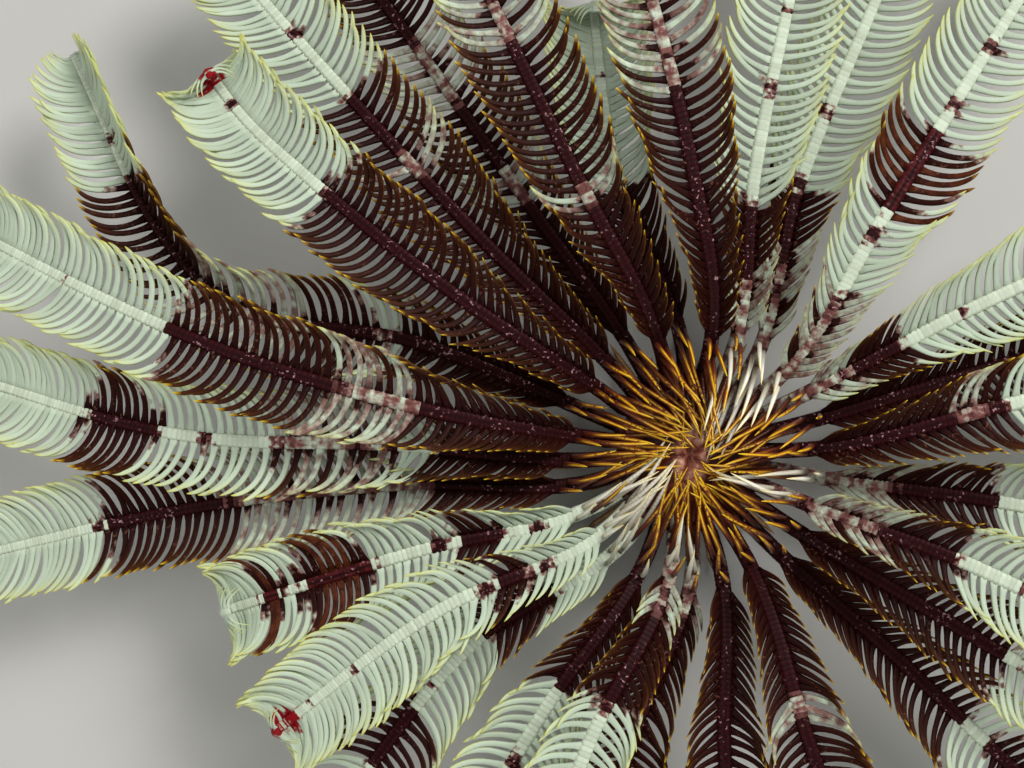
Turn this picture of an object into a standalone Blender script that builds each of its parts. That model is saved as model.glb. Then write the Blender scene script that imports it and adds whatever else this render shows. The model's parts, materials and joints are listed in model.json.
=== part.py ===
"""A feather star spread mouth side up: centrodorsal with cirri, calyx, disc and arms.

Lengths are metres. The animal's own axis is at X = Y = 0 while it is built; the last step moves
the whole of it so that the origin lies under the middle of its box, on the floor.
"""

import math

import bmesh
import bpy
import numpy as np
from mathutils import Matrix, Vector
from mathutils.geometry import interpolate_bezier
from mathutils.kdtree import KDTree

MM = 0.001
UP = Vector((0, 0, 1))
GAP = 0.3 * MM
MERGE_DISTANCE = 1e-6
SHARP_ANGLE = 40.0  # degrees between faces from which their edge is drawn sharp

# Arms, counted anticlockwise from the photo's right: the compass direction in degrees where the
# arm crosses each of the VIA_RADII and at its far end, how far out it reaches in millimetres, how
# many degrees its tip curls over, and its tier, the highest being 2.
ARMS = (
    ((10, 11.3), 11.8, 96, 90, 2),
    ((16.5, 16.5), 17, 92, 120, 0),
    ((28.5, 26.5), 25.5, 98, 60, 1),
    ((53, 55), 55.5, 100, 80, 2),
    ((68.5, 68), 68, 94, 150, 0),
    ((78.5, 78.5), 79, 90, 60, 1),
    ((92, 97), 98, 97, 120, 2),
    ((105,), 102.5, 62, 200, 0),
    ((113.5, 114.5), 114.5, 98, 90, 2),
    ((123, 124), 124.5, 95, 150, 0),
    ((134.5, 133.8), 133, 99, 70, 1),
    ((146, 143.8), 142, 82, 190, 2),
    ((157.5, 161), 147, 103, 60, 0),
    ((169.5, 166.5), 162.5, 104, 120, 2),
    ((177.5, 177.5), 174, 98, 150, 1),
    ((185.5, 186), 188, 100, 80, 0),
    ((198.5,), 198, 66, 200, 1),
    ((210,), 212.5, 65, 170, 2),
    ((220.5, 225), 226, 90, 90, 0),
    ((239, 239), 239, 95, 60, 1),
    ((248.5, 249.5), 250, 90, 120, 2),
    ((258, 257), 257, 88, 150, 0),
    ((275.5, 275), 274.5, 92, 90, 1),
    ((291, 290), 289.5, 95, 60, 2),
    ((315.5, 316), 317, 97, 120, 0),
    ((327, 328), 328, 92, 90, 1),
    ((338.5, 336), 335.5, 96, 150, 2),
    ((351.5, 351), 352, 98, 60, 0),
)
FIRST_BASE_AZIMUTH = 2.8  # degrees; the arm bases are evenly spaced round the disc from here
BASE_RADIUS = 11.5 * MM
BASE_HEIGHT = 12.6 * MM
VIA_RADII = (40 * MM, 70 * MM)
RAY_SIZES = (6, 6, 5, 6, 5)  # arms borne by each of the five rays

# Rise and fall of the arms, which lie over one another in three tiers.
TIER_PITCH = (22.0, 39.0, 55.0)  # degrees above the floor at the arm's base
TIER_DROOP = (4.0, 5.5, 7.0)  # degrees below the floor's level further out
RISE_LENGTH = 34 * MM
DROOP_LENGTH = 30 * MM
CURL_RADIUS = 1.7 * MM
STEP = 0.5 * MM  # spacing of the points worked out along an arm
END_SWING = 6 * MM  # how far the last heading is turned on from the one before it
HANDLE = 0.36  # length of a curve's handles as a share of the stretch
CURVE_POINTS = 200

# Arm section, as wide and as deep as the row of ossicles with its soft groove.
ARM_WIDTH = 2.2 * MM
TIP_WIDTH = 1.1 * MM
WIDTH_POWER = 0.6  # how it narrows from the one to the other
ARM_DEPTH_SHARE = 0.8
ARM_RING_SPACING = 10 * MM
CURL_RING_SPACING = 1.5 * MM
SECTION = ((0.48, 0.44), (0.36, -0.5), (-0.36, -0.5), (-0.48, 0.44))
CORNER = 0.64  # distance of the section's corners from the axis, as a share of the width
INNER_LENGTH = 42 * MM  # where the inner length of an arm ends and the outer one begins

# Feeding pinnules, in two rows along each arm.
PINNULE_START = 9.5 * MM
PINNULE_SPACING = 4.15 * MM  # along one row; the real ones stand three times as close
PINNULE_END = 0.8 * MM  # how far before the arm's end they stop
SPLIT_CLEARANCE = 0.9 * MM  # how far they keep from where the arm is split in two lengths
BASE_ANGLE = 35.0  # degrees between a pinnule and its arm where they begin
SPREAD_ANGLE = 62.0  # and where the arm is spread, from SPREAD_LENGTH on
SPREAD_LENGTH = 44 * MM
FAN_ANGLE = 52.0  # and shortly before the arm curls
FAN_LENGTH = 11 * MM
CURL_ANGLE = 76.0  # and on the curl, so that the arm's end looks square cut
CURL_REACH = 4 * MM
PINNULE_RADIUS = 0.42 * MM
PINNULE_SINK = 0.32  # how far its root lies inside the arm, as a share of the arm's width
TOP_FOLD = 52.0  # degrees of fold from which it grows out of the arm's upper face
SIDE_ROOT = 0.42  # place of its root beside the axis, as a share of the arm's width
TOP_ROOT = (0.2, 0.35)  # places beside and above the axis where it grows from the upper face
SHORT_PINNULE = 4.8 * MM
LONG_PINNULE = 8.8 * MM
GROWTH_LENGTH = 46 * MM  # pinnules reach their full length this far along
TAPER_LENGTH = 7 * MM  # and shorten again over at least this length at the tip
TIP_SHARE = 0.3
FLAT_FOLD = 16.0  # degrees that an outer pinnule is raised above its arm
STEEP_FOLD = 50.0
CURL_FOLD_SHARE = 0.4  # how much of that it is raised on the curl
FOLD_LENGTH = 40 * MM
RAISED_RIGHT = {12: 46.0}  # degrees more that the right row of one arm is raised
RAISED_FROM = (40 * MM, 62 * MM)  # where it begins to rise, and where it is fully raised
MOST_FOLD = 88.0
FOLD_STEP = 6.0
SHORTENING = (1.0, 0.82, 0.66, 0.5)
CLEARANCE_TAPER = 0.8  # how much thinner its tip counts when it is kept clear of others

# Oral pinnules: stiff spines that close over the disc, leaning further out along the arm.
ORAL_PINNULES = (
    (1.3 * MM, 20.0, 10.5 * MM),
    (2.9 * MM, 31.0, 12.5 * MM),
    (4.5 * MM, 43.0, 11.5 * MM),
    (6.1 * MM, 56.0, 9.5 * MM),
    (7.8 * MM, 72.0, 7.5 * MM),
)  # place along the arm, degrees above the floor, length
ORAL_RADIUS = 0.46 * MM
ORAL_ROOT = (0.2, 0.12)  # places beside and above the axis, as shares of the arm's width
ORAL_SWIRL = 8.0  # degrees that they pass to one side of the mouth
ORAL_RAISES = (0.0, 5.0, 10.0, 15.0)  # degrees that one may be raised to clear its neighbours

# Sides of the turned forms, the ridges, the anal cone and the stubs that meet the arms.
ROUND_SIDES = 18
RIDGE_SIDES = 5
CONE_SIDES = 8
STUB_SIDES = 4

# Disc (tegmen), a low dome with the mouth in its middle and the anal cone beside it.
DISC_PROFILE = (
    (0.55 * MM, 14.7 * MM),
    (1.1 * MM, 15.42 * MM),
    (2.1 * MM, 15.6 * MM),
    (4.4 * MM, 15.2 * MM),
    (7.4 * MM, 14.0 * MM),
    (8.0 * MM, 13.3 * MM),
    (7.2 * MM, 12.6 * MM),
)  # radii and heights from the mouth down
GROOVE_STATIONS = (
    (1.9 * MM, 15.45 * MM, 0.44 * MM),
    (7.0 * MM, 13.95 * MM, 0.55 * MM),
)  # radius, height and thickness of a groove's ridge at the mouth and at the rim
GROOVE_COUNT = 5
ANAL_CONE_AZIMUTH = 118.0
ANAL_CONE_STATIONS = (
    (3.6 * MM, 14.5 * MM, 0.95 * MM),
    (4.1 * MM, 16.5 * MM, 0.57 * MM),
)  # the same for the cone's foot and its opening

# Calyx: a cup whose five rays fork twice, as ridges, on their way to the arm bases.
CUP_PROFILE = (
    (7.3 * MM, 12.3 * MM),
    (7.8 * MM, 11.6 * MM),
    (5.5 * MM, 9.2 * MM),
    (3.3 * MM, 7.6 * MM),
)  # radii and heights from the top down
RAY_STATIONS = (
    (3.0 * MM, 8.1 * MM, 1.0 * MM),
    (5.4 * MM, 9.4 * MM, 1.15 * MM),
    (7.7 * MM, 11.2 * MM, 0.95 * MM),
)  # radius, height and thickness at the hub, the first axil and the second axil
STUB_ROOT = (6.6 * MM, 11.1 * MM, 0.8 * MM)
KNUCKLE_RADIUS = 1.1 * MM

# Centrodorsal, a thick button that bears the gripping cirri.
BUTTON_RADIUS = 3.4 * MM
BUTTON_BOTTOM = 4.4 * MM
BUTTON_TOP = 7.3 * MM
BUTTON_BEVEL = 0.7 * MM
CIRRUS_COUNT = 22
CIRRUS_ROOT_RADIUS = 2.3 * MM
CIRRUS_ROOT_HEIGHTS = (5.2 * MM, 6.4 * MM)
CIRRUS_REACH = (12.5 * MM, 17.0 * MM)
CIRRUS_ARCH = (2.0 * MM, 2.6 * MM)
CIRRUS_SHARES = (0.0, 0.3, 0.58, 0.82, 1.0)  # places of the rings between root and claw
CIRRUS_FALL_POWER = 1.6
CIRRUS_THICKNESS = 1.15 * MM
CIRRUS_NARROWING = 0.3  # how much of its thickness it loses on its way to the claw
CLAW_THICKNESS = 0.55 * MM
CLAW_LENGTH = 2.6 * MM

COLOURS = {
    "maroon_ossicle": ((0.10, 0.022, 0.022), 0.55),
    "cream_pinnule": ((0.62, 0.66, 0.58), 0.6),
    "tegmen_skin": ((0.42, 0.17, 0.13), 0.5),
    "calyx_plate": ((0.20, 0.07, 0.05), 0.55),
    "cirrus": ((0.32, 0.19, 0.11), 0.5),
}


def clear_scene():
    """Empties the scene."""
    for obj in list(bpy.data.objects):
        bpy.data.objects.remove(obj)


def material(name):
    """The named finish, made once."""
    made = bpy.data.materials.get(name)
    if made is None:
        colour, roughness = COLOURS[name]
        made = bpy.data.materials.new(name)
        made.use_nodes = True
        shader = made.node_tree.nodes["Principled BSDF"]
        shader.inputs["Base Color"].default_value = (*colour, 1)
        shader.inputs["Roughness"].default_value = roughness
        shader.inputs["Metallic"].default_value = 0
    return made


def compass(azimuth, elevation=0.0):
    """Unit vector at an azimuth and elevation in degrees."""
    a, e = math.radians(azimuth), math.radians(elevation)
    return Vector((math.cos(a) * math.cos(e), math.sin(a) * math.cos(e), math.sin(e)))


def smooth(x):
    """0 to 1 with soft ends."""
    x = min(1.0, max(0.0, x))
    return x * x * (3 - 2 * x)


def blend(first, last, share):
    """The value a share of the way from first to last."""
    return first + (last - first) * share


def object_from(shell, name):
    """An object from a bmesh, outside any collection."""
    bmesh.ops.recalc_face_normals(shell, faces=shell.faces)
    mesh = bpy.data.meshes.new(name)
    shell.to_mesh(mesh)
    shell.free()
    return bpy.data.objects.new(name, mesh)


def loft(name, rings):
    """A closed solid through rings of equally many points, which change in shape and size."""
    shell = bmesh.new()
    loops = [[shell.verts.new(point) for point in ring] for ring in rings]
    for near, far in zip(loops, loops[1:]):
        for k, corner in enumerate(near):
            beside = (k + 1) % len(near)
            shell.faces.new((corner, near[beside], far[beside], far[k]))
    shell.faces.new(loops[0])
    shell.faces.new(loops[-1])
    return object_from(shell, name)


def turned(name, profile, sides):
    """A solid of revolution about the animal's axis, from radii and heights given from the top down."""
    shell = bmesh.new()
    points = [(0, profile[0][1]), *profile, (0, profile[-1][1])]
    corners = [shell.verts.new((radius, 0, height)) for radius, height in points]
    edges = [shell.edges.new(pair) for pair in zip(corners, corners[1:])]
    bmesh.ops.spin(
        shell, geom=corners + edges, axis=(0, 0, 1), cent=(0, 0, 0), angle=2 * math.pi, steps=sides
    )
    bmesh.ops.remove_doubles(shell, verts=shell.verts, dist=MERGE_DISTANCE)
    return object_from(shell, name)


def ring(centre, side, up, radius, sides):
    """Points round a centre in the plane of the side and up directions, flat side down."""
    turns = [2 * math.pi * (k + 0.5) / sides for k in range(sides)]
    return [centre + (side * math.cos(turn) + up * math.sin(turn)) * radius for turn in turns]


def strut(name, start, end, start_radius, end_radius, sides):
    """A tapered bar between two points."""
    along = end - start
    shell = bmesh.new()
    turn = along.to_track_quat("Z", "Y").to_matrix().to_4x4()
    bmesh.ops.create_cone(
        shell,
        cap_ends=True,
        segments=sides,
        radius1=start_radius,
        radius2=end_radius,
        depth=along.length,
        matrix=Matrix.Translation((start + end) / 2) @ turn,
    )
    return object_from(shell, name)


def largest_surface(mesh):
    """Keeps the largest closed surface of a mesh, so a sealed hollow is filled."""
    shell = bmesh.new()
    shell.from_mesh(mesh)
    bmesh.ops.triangulate(shell, faces=shell.faces)
    unseen, surfaces = set(shell.faces), []
    while unseen:
        stack, surface = [unseen.pop()], []
        while stack:
            face = stack.pop()
            surface.append(face)
            for edge in face.edges:
                for other in edge.link_faces:
                    if other in unseen:
                        unseen.remove(other)
                        stack.append(other)
        surfaces.append(surface)
    surfaces.sort(key=lambda faces: sum(face.calc_area() for face in faces))
    for surface in surfaces[:-1]:
        bmesh.ops.delete(shell, geom=surface, context="FACES")
    shell.to_mesh(mesh)
    shell.free()


def fuse(name, body, pieces, finish, home):
    """The body with its pieces joined to it, as one closed node in the home collection."""
    bpy.context.scene.collection.objects.link(body)
    group = bpy.data.collections.new(name + "_pieces")
    for piece in pieces:
        group.objects.link(piece)
    join = body.modifiers.new("join", "BOOLEAN")
    join.operation = "UNION"
    join.operand_type = "COLLECTION"
    join.collection = group
    join.solver = "MANIFOLD"
    bpy.context.view_layer.update()
    graph = bpy.context.evaluated_depsgraph_get()
    joined = bpy.data.meshes.new_from_object(body.evaluated_get(graph))
    body.modifiers.clear()
    body.data = joined
    for piece in pieces:
        bpy.data.objects.remove(piece)
    bpy.data.collections.remove(group)
    largest_surface(body.data)
    bpy.context.scene.collection.objects.unlink(body)
    home.objects.link(body)
    body.name = name
    body.data.name = name
    body.data.materials.clear()
    body.data.materials.append(material(finish))
    body.data.shade_smooth()
    body.data.set_sharp_from_angle(angle=math.radians(SHARP_ANGLE))


class Arm:
    """The course of one arm: where its axis runs, and which way is out and up along it."""

    def __init__(self, number):
        vias, far, reach, curl, self.tier = ARMS[number]
        self.raised = RAISED_RIGHT.get(number, 0.0)
        self.name = f"arm_{number + 1:02d}"
        self.azimuth = FIRST_BASE_AZIMUTH + number * 360 / len(ARMS)
        stations = [compass(self.azimuth) * BASE_RADIUS]
        stations += [compass(via) * radius for via, radius in zip(vias, VIA_RADII)]
        stations.append(compass(far) * reach * MM)
        self.plan = self.plan_course(stations)
        self.trace(curl)

    def plan_course(self, stations):
        """Points STEP apart on a smooth curve in plan through the stations."""
        headings = [compass(self.azimuth)]
        headings += [(after - before).normalized() for before, after in zip(stations, stations[2:])]
        headings.append((stations[-1] - stations[-2] - headings[-1] * END_SWING).normalized())
        curve = [stations[0]]
        for k in range(len(stations) - 1):
            handle = (stations[k + 1] - stations[k]).length * HANDLE
            leave = stations[k] + headings[k] * handle
            arrive = stations[k + 1] - headings[k + 1] * handle
            curve += interpolate_bezier(stations[k], leave, arrive, stations[k + 1], CURVE_POINTS)[1:]
        walked = np.cumsum([0.0] + [(b - a).length for a, b in zip(curve, curve[1:])])
        places = np.arange(0, walked[-1], STEP)
        across = np.interp(places, walked, [point.x for point in curve])
        ahead = np.interp(places, walked, [point.y for point in curve])
        return [Vector((x, y, 0)) for x, y in zip(across, ahead)]

    def pitch(self, walked):
        """Degrees that the arm climbs, this far along it in plan."""
        if walked < RISE_LENGTH:
            return TIER_PITCH[self.tier] * (1 - walked / RISE_LENGTH) ** 2
        return -TIER_DROOP[self.tier] * smooth((walked - RISE_LENGTH) / DROOP_LENGTH)

    def trace(self, curl):
        """Works out the points, directions and sideways directions along the arm."""
        self.points, self.along, self.side = [], [], []
        place = self.plan[0] + UP * BASE_HEIGHT
        walked, last = 0.0, len(self.plan) - 1
        while walked < (last - 1) * STEP:
            k = int(walked / STEP)
            level = (self.plan[k + 1] - self.plan[k]).normalized()
            slope = math.radians(self.pitch(walked))
            self.add_point(place, level * math.cos(slope) + UP * math.sin(slope), level)
            place = place + self.along[-1] * STEP
            walked += STEP * math.cos(slope)
        turned, start_pitch = 0.0, self.pitch(walked)
        while turned < curl:
            slope = math.radians(start_pitch + turned)
            self.add_point(place, level * math.cos(slope) + UP * math.sin(slope), level)
            place = place + self.along[-1] * STEP
            turned += math.degrees(STEP / CURL_RADIUS)
        self.length = (len(self.points) - 1) * STEP
        self.curl_start = self.length - math.radians(curl) * CURL_RADIUS

    def add_point(self, place, along, level):
        """Notes one point of the axis with its directions."""
        self.points.append(place)
        self.along.append(along)
        self.side.append(UP.cross(level))

    def frame(self, s):
        """Point, direction, left and up at a length along the arm."""
        k = min(int(s / STEP), len(self.points) - 2)
        share = s / STEP - k
        point = self.points[k].lerp(self.points[k + 1], share)
        along = self.along[k].lerp(self.along[k + 1], min(1.0, share)).normalized()
        side = self.side[k]
        return point, along, side, along.cross(side)

    def width(self, s):
        """Width of the arm at a length along it."""
        return blend(TIP_WIDTH, ARM_WIDTH, (1 - s / self.length) ** WIDTH_POWER)

    def section(self, s):
        """The ring of points round the arm at a length along it."""
        point, _, side, up = self.frame(s)
        width = self.width(s)
        return [point + side * x * width + up * y * width * ARM_DEPTH_SHARE for x, y in SECTION]

    def core(self, name, start, end):
        """The arm's own solid between two lengths along it."""
        return loft(name, [self.section(s) for s in self.ring_places(start, end)])

    def ring_places(self, start, end):
        """Where the rings of the core stand, closer where the tip curls."""
        bend = min(end, self.curl_start)
        count = round((bend - start) / ARM_RING_SPACING)
        places = list(np.linspace(start, bend, count + 1))
        if end > bend:
            count = round((end - bend) / CURL_RING_SPACING)
            places += list(np.linspace(bend, end, count + 1))[1:]
        return places


class Pinnule:
    """A straight tapered pinnule, by its root point on the arm's axis, direction and length."""

    def __init__(self, s, root, direction, length, radius, face):
        self.s = s
        self.root = root
        self.direction = direction
        self.length = length
        self.radius = radius
        self.face = face

    def samples(self):
        """Points along it with its thickness there, for telling whether it meets another."""
        count = max(3, int(self.length / STEP))
        for i in range(2, count + 1):
            share = i / count
            thickness = self.radius * (1 - CLEARANCE_TAPER * share)
            yield self.root + self.direction * self.length * share, thickness

    def solid(self, name):
        """Its three-sided spine."""
        turn = self.direction.to_track_quat("Z", "Y")
        lean = turn.inverted() @ self.face
        roll = Matrix.Rotation(math.atan2(lean.y, lean.x), 4, "Z")
        shell = bmesh.new()
        bmesh.ops.create_cone(
            shell,
            cap_ends=True,
            segments=3,
            radius1=self.radius,
            radius2=0,
            depth=self.length,
            matrix=Matrix.Translation(self.root + self.direction * self.length / 2)
            @ turn.to_matrix().to_4x4()
            @ roll,
        )
        bmesh.ops.remove_doubles(shell, verts=shell.verts, dist=MERGE_DISTANCE)
        return object_from(shell, name)


def pinnule_length(arm, s):
    """Length of a feeding pinnule at a length along its arm."""
    grown = blend(SHORT_PINNULE, LONG_PINNULE, smooth(s / GROWTH_LENGTH))
    taper = max(TAPER_LENGTH, arm.length - arm.curl_start)
    return grown * blend(TIP_SHARE, 1.0, smooth((arm.length - s) / taper))


def pinnule_angle(arm, s):
    """Degrees between a feeding pinnule and its arm at a length along the arm."""
    spread = blend(BASE_ANGLE, SPREAD_ANGLE, smooth(s / SPREAD_LENGTH))
    fanned = blend(spread, FAN_ANGLE, smooth((s - arm.curl_start) / FAN_LENGTH + 1))
    return blend(fanned, CURL_ANGLE, smooth((s - arm.curl_start) / CURL_REACH + 0.5))


def base_fold(arm, s, hand):
    """Degrees that a pinnule is raised above its arm where no neighbour asks for more."""
    fold = blend(STEEP_FOLD, FLAT_FOLD, smooth(s / FOLD_LENGTH))
    if hand < 0:
        start, end = RAISED_FROM
        fold += arm.raised * smooth((s - start) / (end - start))
    return fold * (CURL_FOLD_SHARE if s > arm.curl_start else 1.0)


def feeding_pinnule(arm, s, hand, fold, share):
    """The pinnule on one side of the arm, raised by a fold and shortened by a share."""
    point, along, side, up = arm.frame(s)
    out = side * hand
    angle = math.radians(pinnule_angle(arm, s))
    lift = math.radians(fold)
    width = arm.width(s)
    raised = out * math.cos(lift) + up * math.sin(lift)
    direction = raised * math.sin(angle) + along * math.cos(angle)
    leaves = out * SIDE_ROOT if fold < TOP_FOLD else out * TOP_ROOT[0] + up * TOP_ROOT[1]
    sink = PINNULE_SINK * width
    root = point + leaves * width - direction * sink
    length = pinnule_length(arm, s) * share + sink
    return Pinnule(s, root, direction, length, PINNULE_RADIUS, up)


def oral_pinnule(arm, number, raised, share):
    """One of the stiff spines at the arm's base, leaning over the disc."""
    s, elevation, length = ORAL_PINNULES[number]
    point, _, side, up = arm.frame(s)
    hand = 1 if number % 2 else -1
    beside, above = ORAL_ROOT
    root = point + (side * hand * beside + up * above) * arm.width(s)
    inward = math.degrees(math.atan2(-root.y, -root.x)) + ORAL_SWIRL
    direction = compass(inward, elevation + raised)
    return Pinnule(s, root, direction, length * share, ORAL_RADIUS, UP)


def pinnule_places(arm):
    """Lengths along the arm, with a hand, at which feeding pinnules grow, left and right in turn."""
    s, hand = PINNULE_START, 1
    while s < arm.length - PINNULE_END:
        if abs(s - INNER_LENGTH) > SPLIT_CLEARANCE:
            yield s, hand
        s += PINNULE_SPACING / 2
        hand = -hand


class Clearance:
    """Tells whether a pinnule stays clear of the other arms and of pinnules already set."""

    def __init__(self, arms):
        self.points, self.radii, self.owners = [], [], []
        for arm in arms:
            for k, point in enumerate(arm.points):
                self.note(point, arm.width(k * STEP) * CORNER, arm)

    def note(self, point, radius, owner):
        """Adds one ball of solid."""
        self.points.append(point)
        self.radii.append(radius)
        self.owners.append(owner)

    def add(self, pinnule, arm):
        """Adds a pinnule that has found its place."""
        for point, radius in pinnule.samples():
            self.note(point, radius, arm)

    def freeze(self):
        """Readies the points noted so far for searching."""
        self.tree = KDTree(len(self.points))
        for k, point in enumerate(self.points):
            self.tree.insert(point, k)
        self.tree.balance()

    def is_free(self, pinnule, arm):
        """True if the pinnule keeps its gap to every ball of another arm."""
        for point, radius in pinnule.samples():
            for _, k, distance in self.tree.find_range(point, radius + CORNER * ARM_WIDTH + GAP):
                if self.owners[k] is not arm and distance < radius + self.radii[k] + GAP:
                    return False
        return True


def set_pinnules(arms):
    """Finds each arm's pinnules, folding up or shortening those that would meet a neighbour's."""
    clearance = Clearance(arms)
    found = {}
    for arm in sorted(arms, key=lambda each: -each.tier):
        clearance.freeze()
        found[arm] = []
        tries = [
            [oral_pinnule(arm, number, raised, share) for share in SHORTENING for raised in ORAL_RAISES]
            for number in range(len(ORAL_PINNULES))
        ]
        for s, hand in pinnule_places(arm):
            first = base_fold(arm, s, hand)
            folds = np.arange(first, MOST_FOLD, FOLD_STEP)
            tries.append(
                [feeding_pinnule(arm, s, hand, fold, share) for share in SHORTENING for fold in folds]
            )
        for options in tries:
            fits = next((option for option in options if clearance.is_free(option, arm)), None)
            if fits:
                found[arm].append(fits)
        for pinnule in found[arm]:
            clearance.add(pinnule, arm)
    return found


def build_arm(arm, pinnules, home):
    """The two lengths of an arm, each fused with its pinnules."""
    lengths = (("inner", 0.0, INNER_LENGTH - GAP / 2), ("outer", INNER_LENGTH + GAP / 2, arm.length))
    for label, start, end in lengths:
        name = f"{arm.name}_{label}"
        body = arm.core(name, start, end)
        pieces = [
            pinnule.solid(f"{name}_pinnule_{k}")
            for k, pinnule in enumerate(p for p in pinnules if start < p.s < end)
        ]
        finish = "maroon_ossicle" if label == "inner" else "cream_pinnule"
        fuse(name, body, pieces, finish, home)


def build_disc(home):
    """The soft disc between the arm bases, with its mouth, groove ridges and anal cone."""
    pieces = [
        ridge("anal_cone", ANAL_CONE_AZIMUTH, ANAL_CONE_AZIMUTH, ANAL_CONE_STATIONS, CONE_SIDES)
    ]
    for number in range(GROOVE_COUNT):
        heading = FIRST_BASE_AZIMUTH + (number + 0.5) * 360 / GROOVE_COUNT
        pieces.append(ridge(f"groove_{number}", heading, heading, GROOVE_STATIONS, RIDGE_SIDES))
    fuse("disc", turned("disc", DISC_PROFILE, ROUND_SIDES), pieces, "tegmen_skin", home)


def arm_groups():
    """The arm numbers of each ray, split into the pairs that share a second axil."""
    first = 0
    for size in RAY_SIZES:
        numbers = list(range(first, first + size))
        yield [numbers[k : k + 2] for k in range(0, size, 2)]
        first += size


def build_calyx(arms, home):
    """The cup with the ridges of its rays, and a stub that meets each arm."""
    pieces = [arm_stub(arm) for arm in arms]
    for pairs in arm_groups():
        heading = np.mean([arms[n].azimuth for pair in pairs for n in pair])
        pieces.append(ridge(f"ray_{heading:.0f}", heading, heading, RAY_STATIONS[:2], RIDGE_SIDES))
        for pair in pairs:
            towards = np.mean([arms[n].azimuth for n in pair])
            fork = ridge(f"fork_{towards:.0f}", heading, towards, RAY_STATIONS[1:], RIDGE_SIDES)
            pieces.append(fork)
    fuse("calyx", turned("calyx", CUP_PROFILE, ROUND_SIDES), pieces, "calyx_plate", home)


def ridge(name, from_azimuth, to_azimuth, stations, sides):
    """A tapered bar between two stations, each a radius, a height and a thickness."""
    (near, low, thick), (far, high, thin) = stations
    start = compass(from_azimuth) * near + UP * low
    end = compass(to_azimuth) * far + UP * high
    return strut(name, start, end, thick, thin, sides)


def arm_stub(arm):
    """The last plates before an arm, from inside the cup to a face square to the arm."""
    point, along, side, up = arm.frame(0)
    face = point - along * GAP
    radius, height, thickness = STUB_ROOT
    root = compass(arm.azimuth) * radius + UP * height
    link = (face - root).normalized()
    rings = [
        ring(root, side, link.cross(side), thickness, STUB_SIDES),
        ring(face, side, up, KNUCKLE_RADIUS, STUB_SIDES),
    ]
    return loft(arm.name + "_stub", rings)


def cirrus(number):
    """One gripping cirrus: out from the button, down to the floor and along it in a claw."""
    row = number % 2
    azimuth = (number + 0.5) * 360 / CIRRUS_COUNT
    reach = CIRRUS_REACH[row]
    root_height, arch = CIRRUS_ROOT_HEIGHTS[row], CIRRUS_ARCH[row]
    out, side = compass(azimuth), compass(azimuth + 90)
    rings = []
    for share in CIRRUS_SHARES:
        half = CIRRUS_THICKNESS / 2 * (1 - CIRRUS_NARROWING * share)
        fall = root_height * (1 - share**CIRRUS_FALL_POWER) + arch * math.sin(math.pi * share)
        point = out * blend(CIRRUS_ROOT_RADIUS, reach, share) + UP * max(fall, half)
        rings.append(square_ring(point, out, side, half, half * share if share < 1 else 0))
    tip = CLAW_THICKNESS / 2
    end = out * (reach + CLAW_LENGTH) + UP * tip
    rings.append(square_ring(end, out, side, tip, 0))
    return loft(f"cirrus_{number}", rings)


def square_ring(point, out, side, half, lean):
    """Four corners round a point, the upper ones pushed outwards by a lean."""
    top, bottom = point + UP * half + out * lean, point - UP * half - out * lean
    return [top + side * half, top - side * half, bottom - side * half, bottom + side * half]


def build_centrodorsal(home):
    """The button under the calyx, with its cirri."""
    profile = (
        (BUTTON_RADIUS - BUTTON_BEVEL / 2, BUTTON_TOP),
        (BUTTON_RADIUS, BUTTON_TOP - BUTTON_BEVEL / 2),
        (BUTTON_RADIUS, BUTTON_BOTTOM + BUTTON_BEVEL),
        (BUTTON_RADIUS - BUTTON_BEVEL, BUTTON_BOTTOM),
    )
    body = turned("centrodorsal", profile, ROUND_SIDES)
    fuse("centrodorsal", body, [cirrus(n) for n in range(CIRRUS_COUNT)], "cirrus", home)


def centre_on_origin(home):
    """Moves the animal so that the origin is under the middle of its box, on the floor."""
    corners = np.array([v.co for obj in home.objects for v in obj.data.vertices])
    low, high = corners.min(axis=0), corners.max(axis=0)
    shift = Matrix.Translation((-(low[0] + high[0]) / 2, -(low[1] + high[1]) / 2, -low[2]))
    for obj in home.objects:
        obj.data.transform(shift)


def main():
    """Builds the animal, node by node."""
    clear_scene()
    home = bpy.data.collections.new("feather_star")
    bpy.context.scene.collection.children.link(home)
    arms = [Arm(number) for number in range(len(ARMS))]
    build_centrodorsal(home)
    build_calyx(arms, home)
    build_disc(home)
    found = set_pinnules(arms)
    for arm in arms:
        build_arm(arm, found[arm], home)
    centre_on_origin(home)


main()
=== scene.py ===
"""A feather star spread mouth side up on a pale floor, seen from above.

Lengths are in metres unless a name or a docstring says otherwise. The animal's own axis runs up
through its mouth, and every arm is laid out round that axis in the same way as its solid.
"""

import sys
import json
import logging
import math
import random
from dataclasses import dataclass, replace
from enum import Enum
from itertools import product
from typing import Iterator, Sequence

import bmesh
import bpy
import numpy as np
from bpy.types import Collection, Material, Mesh, Node, NodeSocket, NodeTree, Object
from mathutils import Matrix, Quaternion, Vector
from mathutils.geometry import interpolate_bezier
from mathutils.kdtree import KDTree

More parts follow.
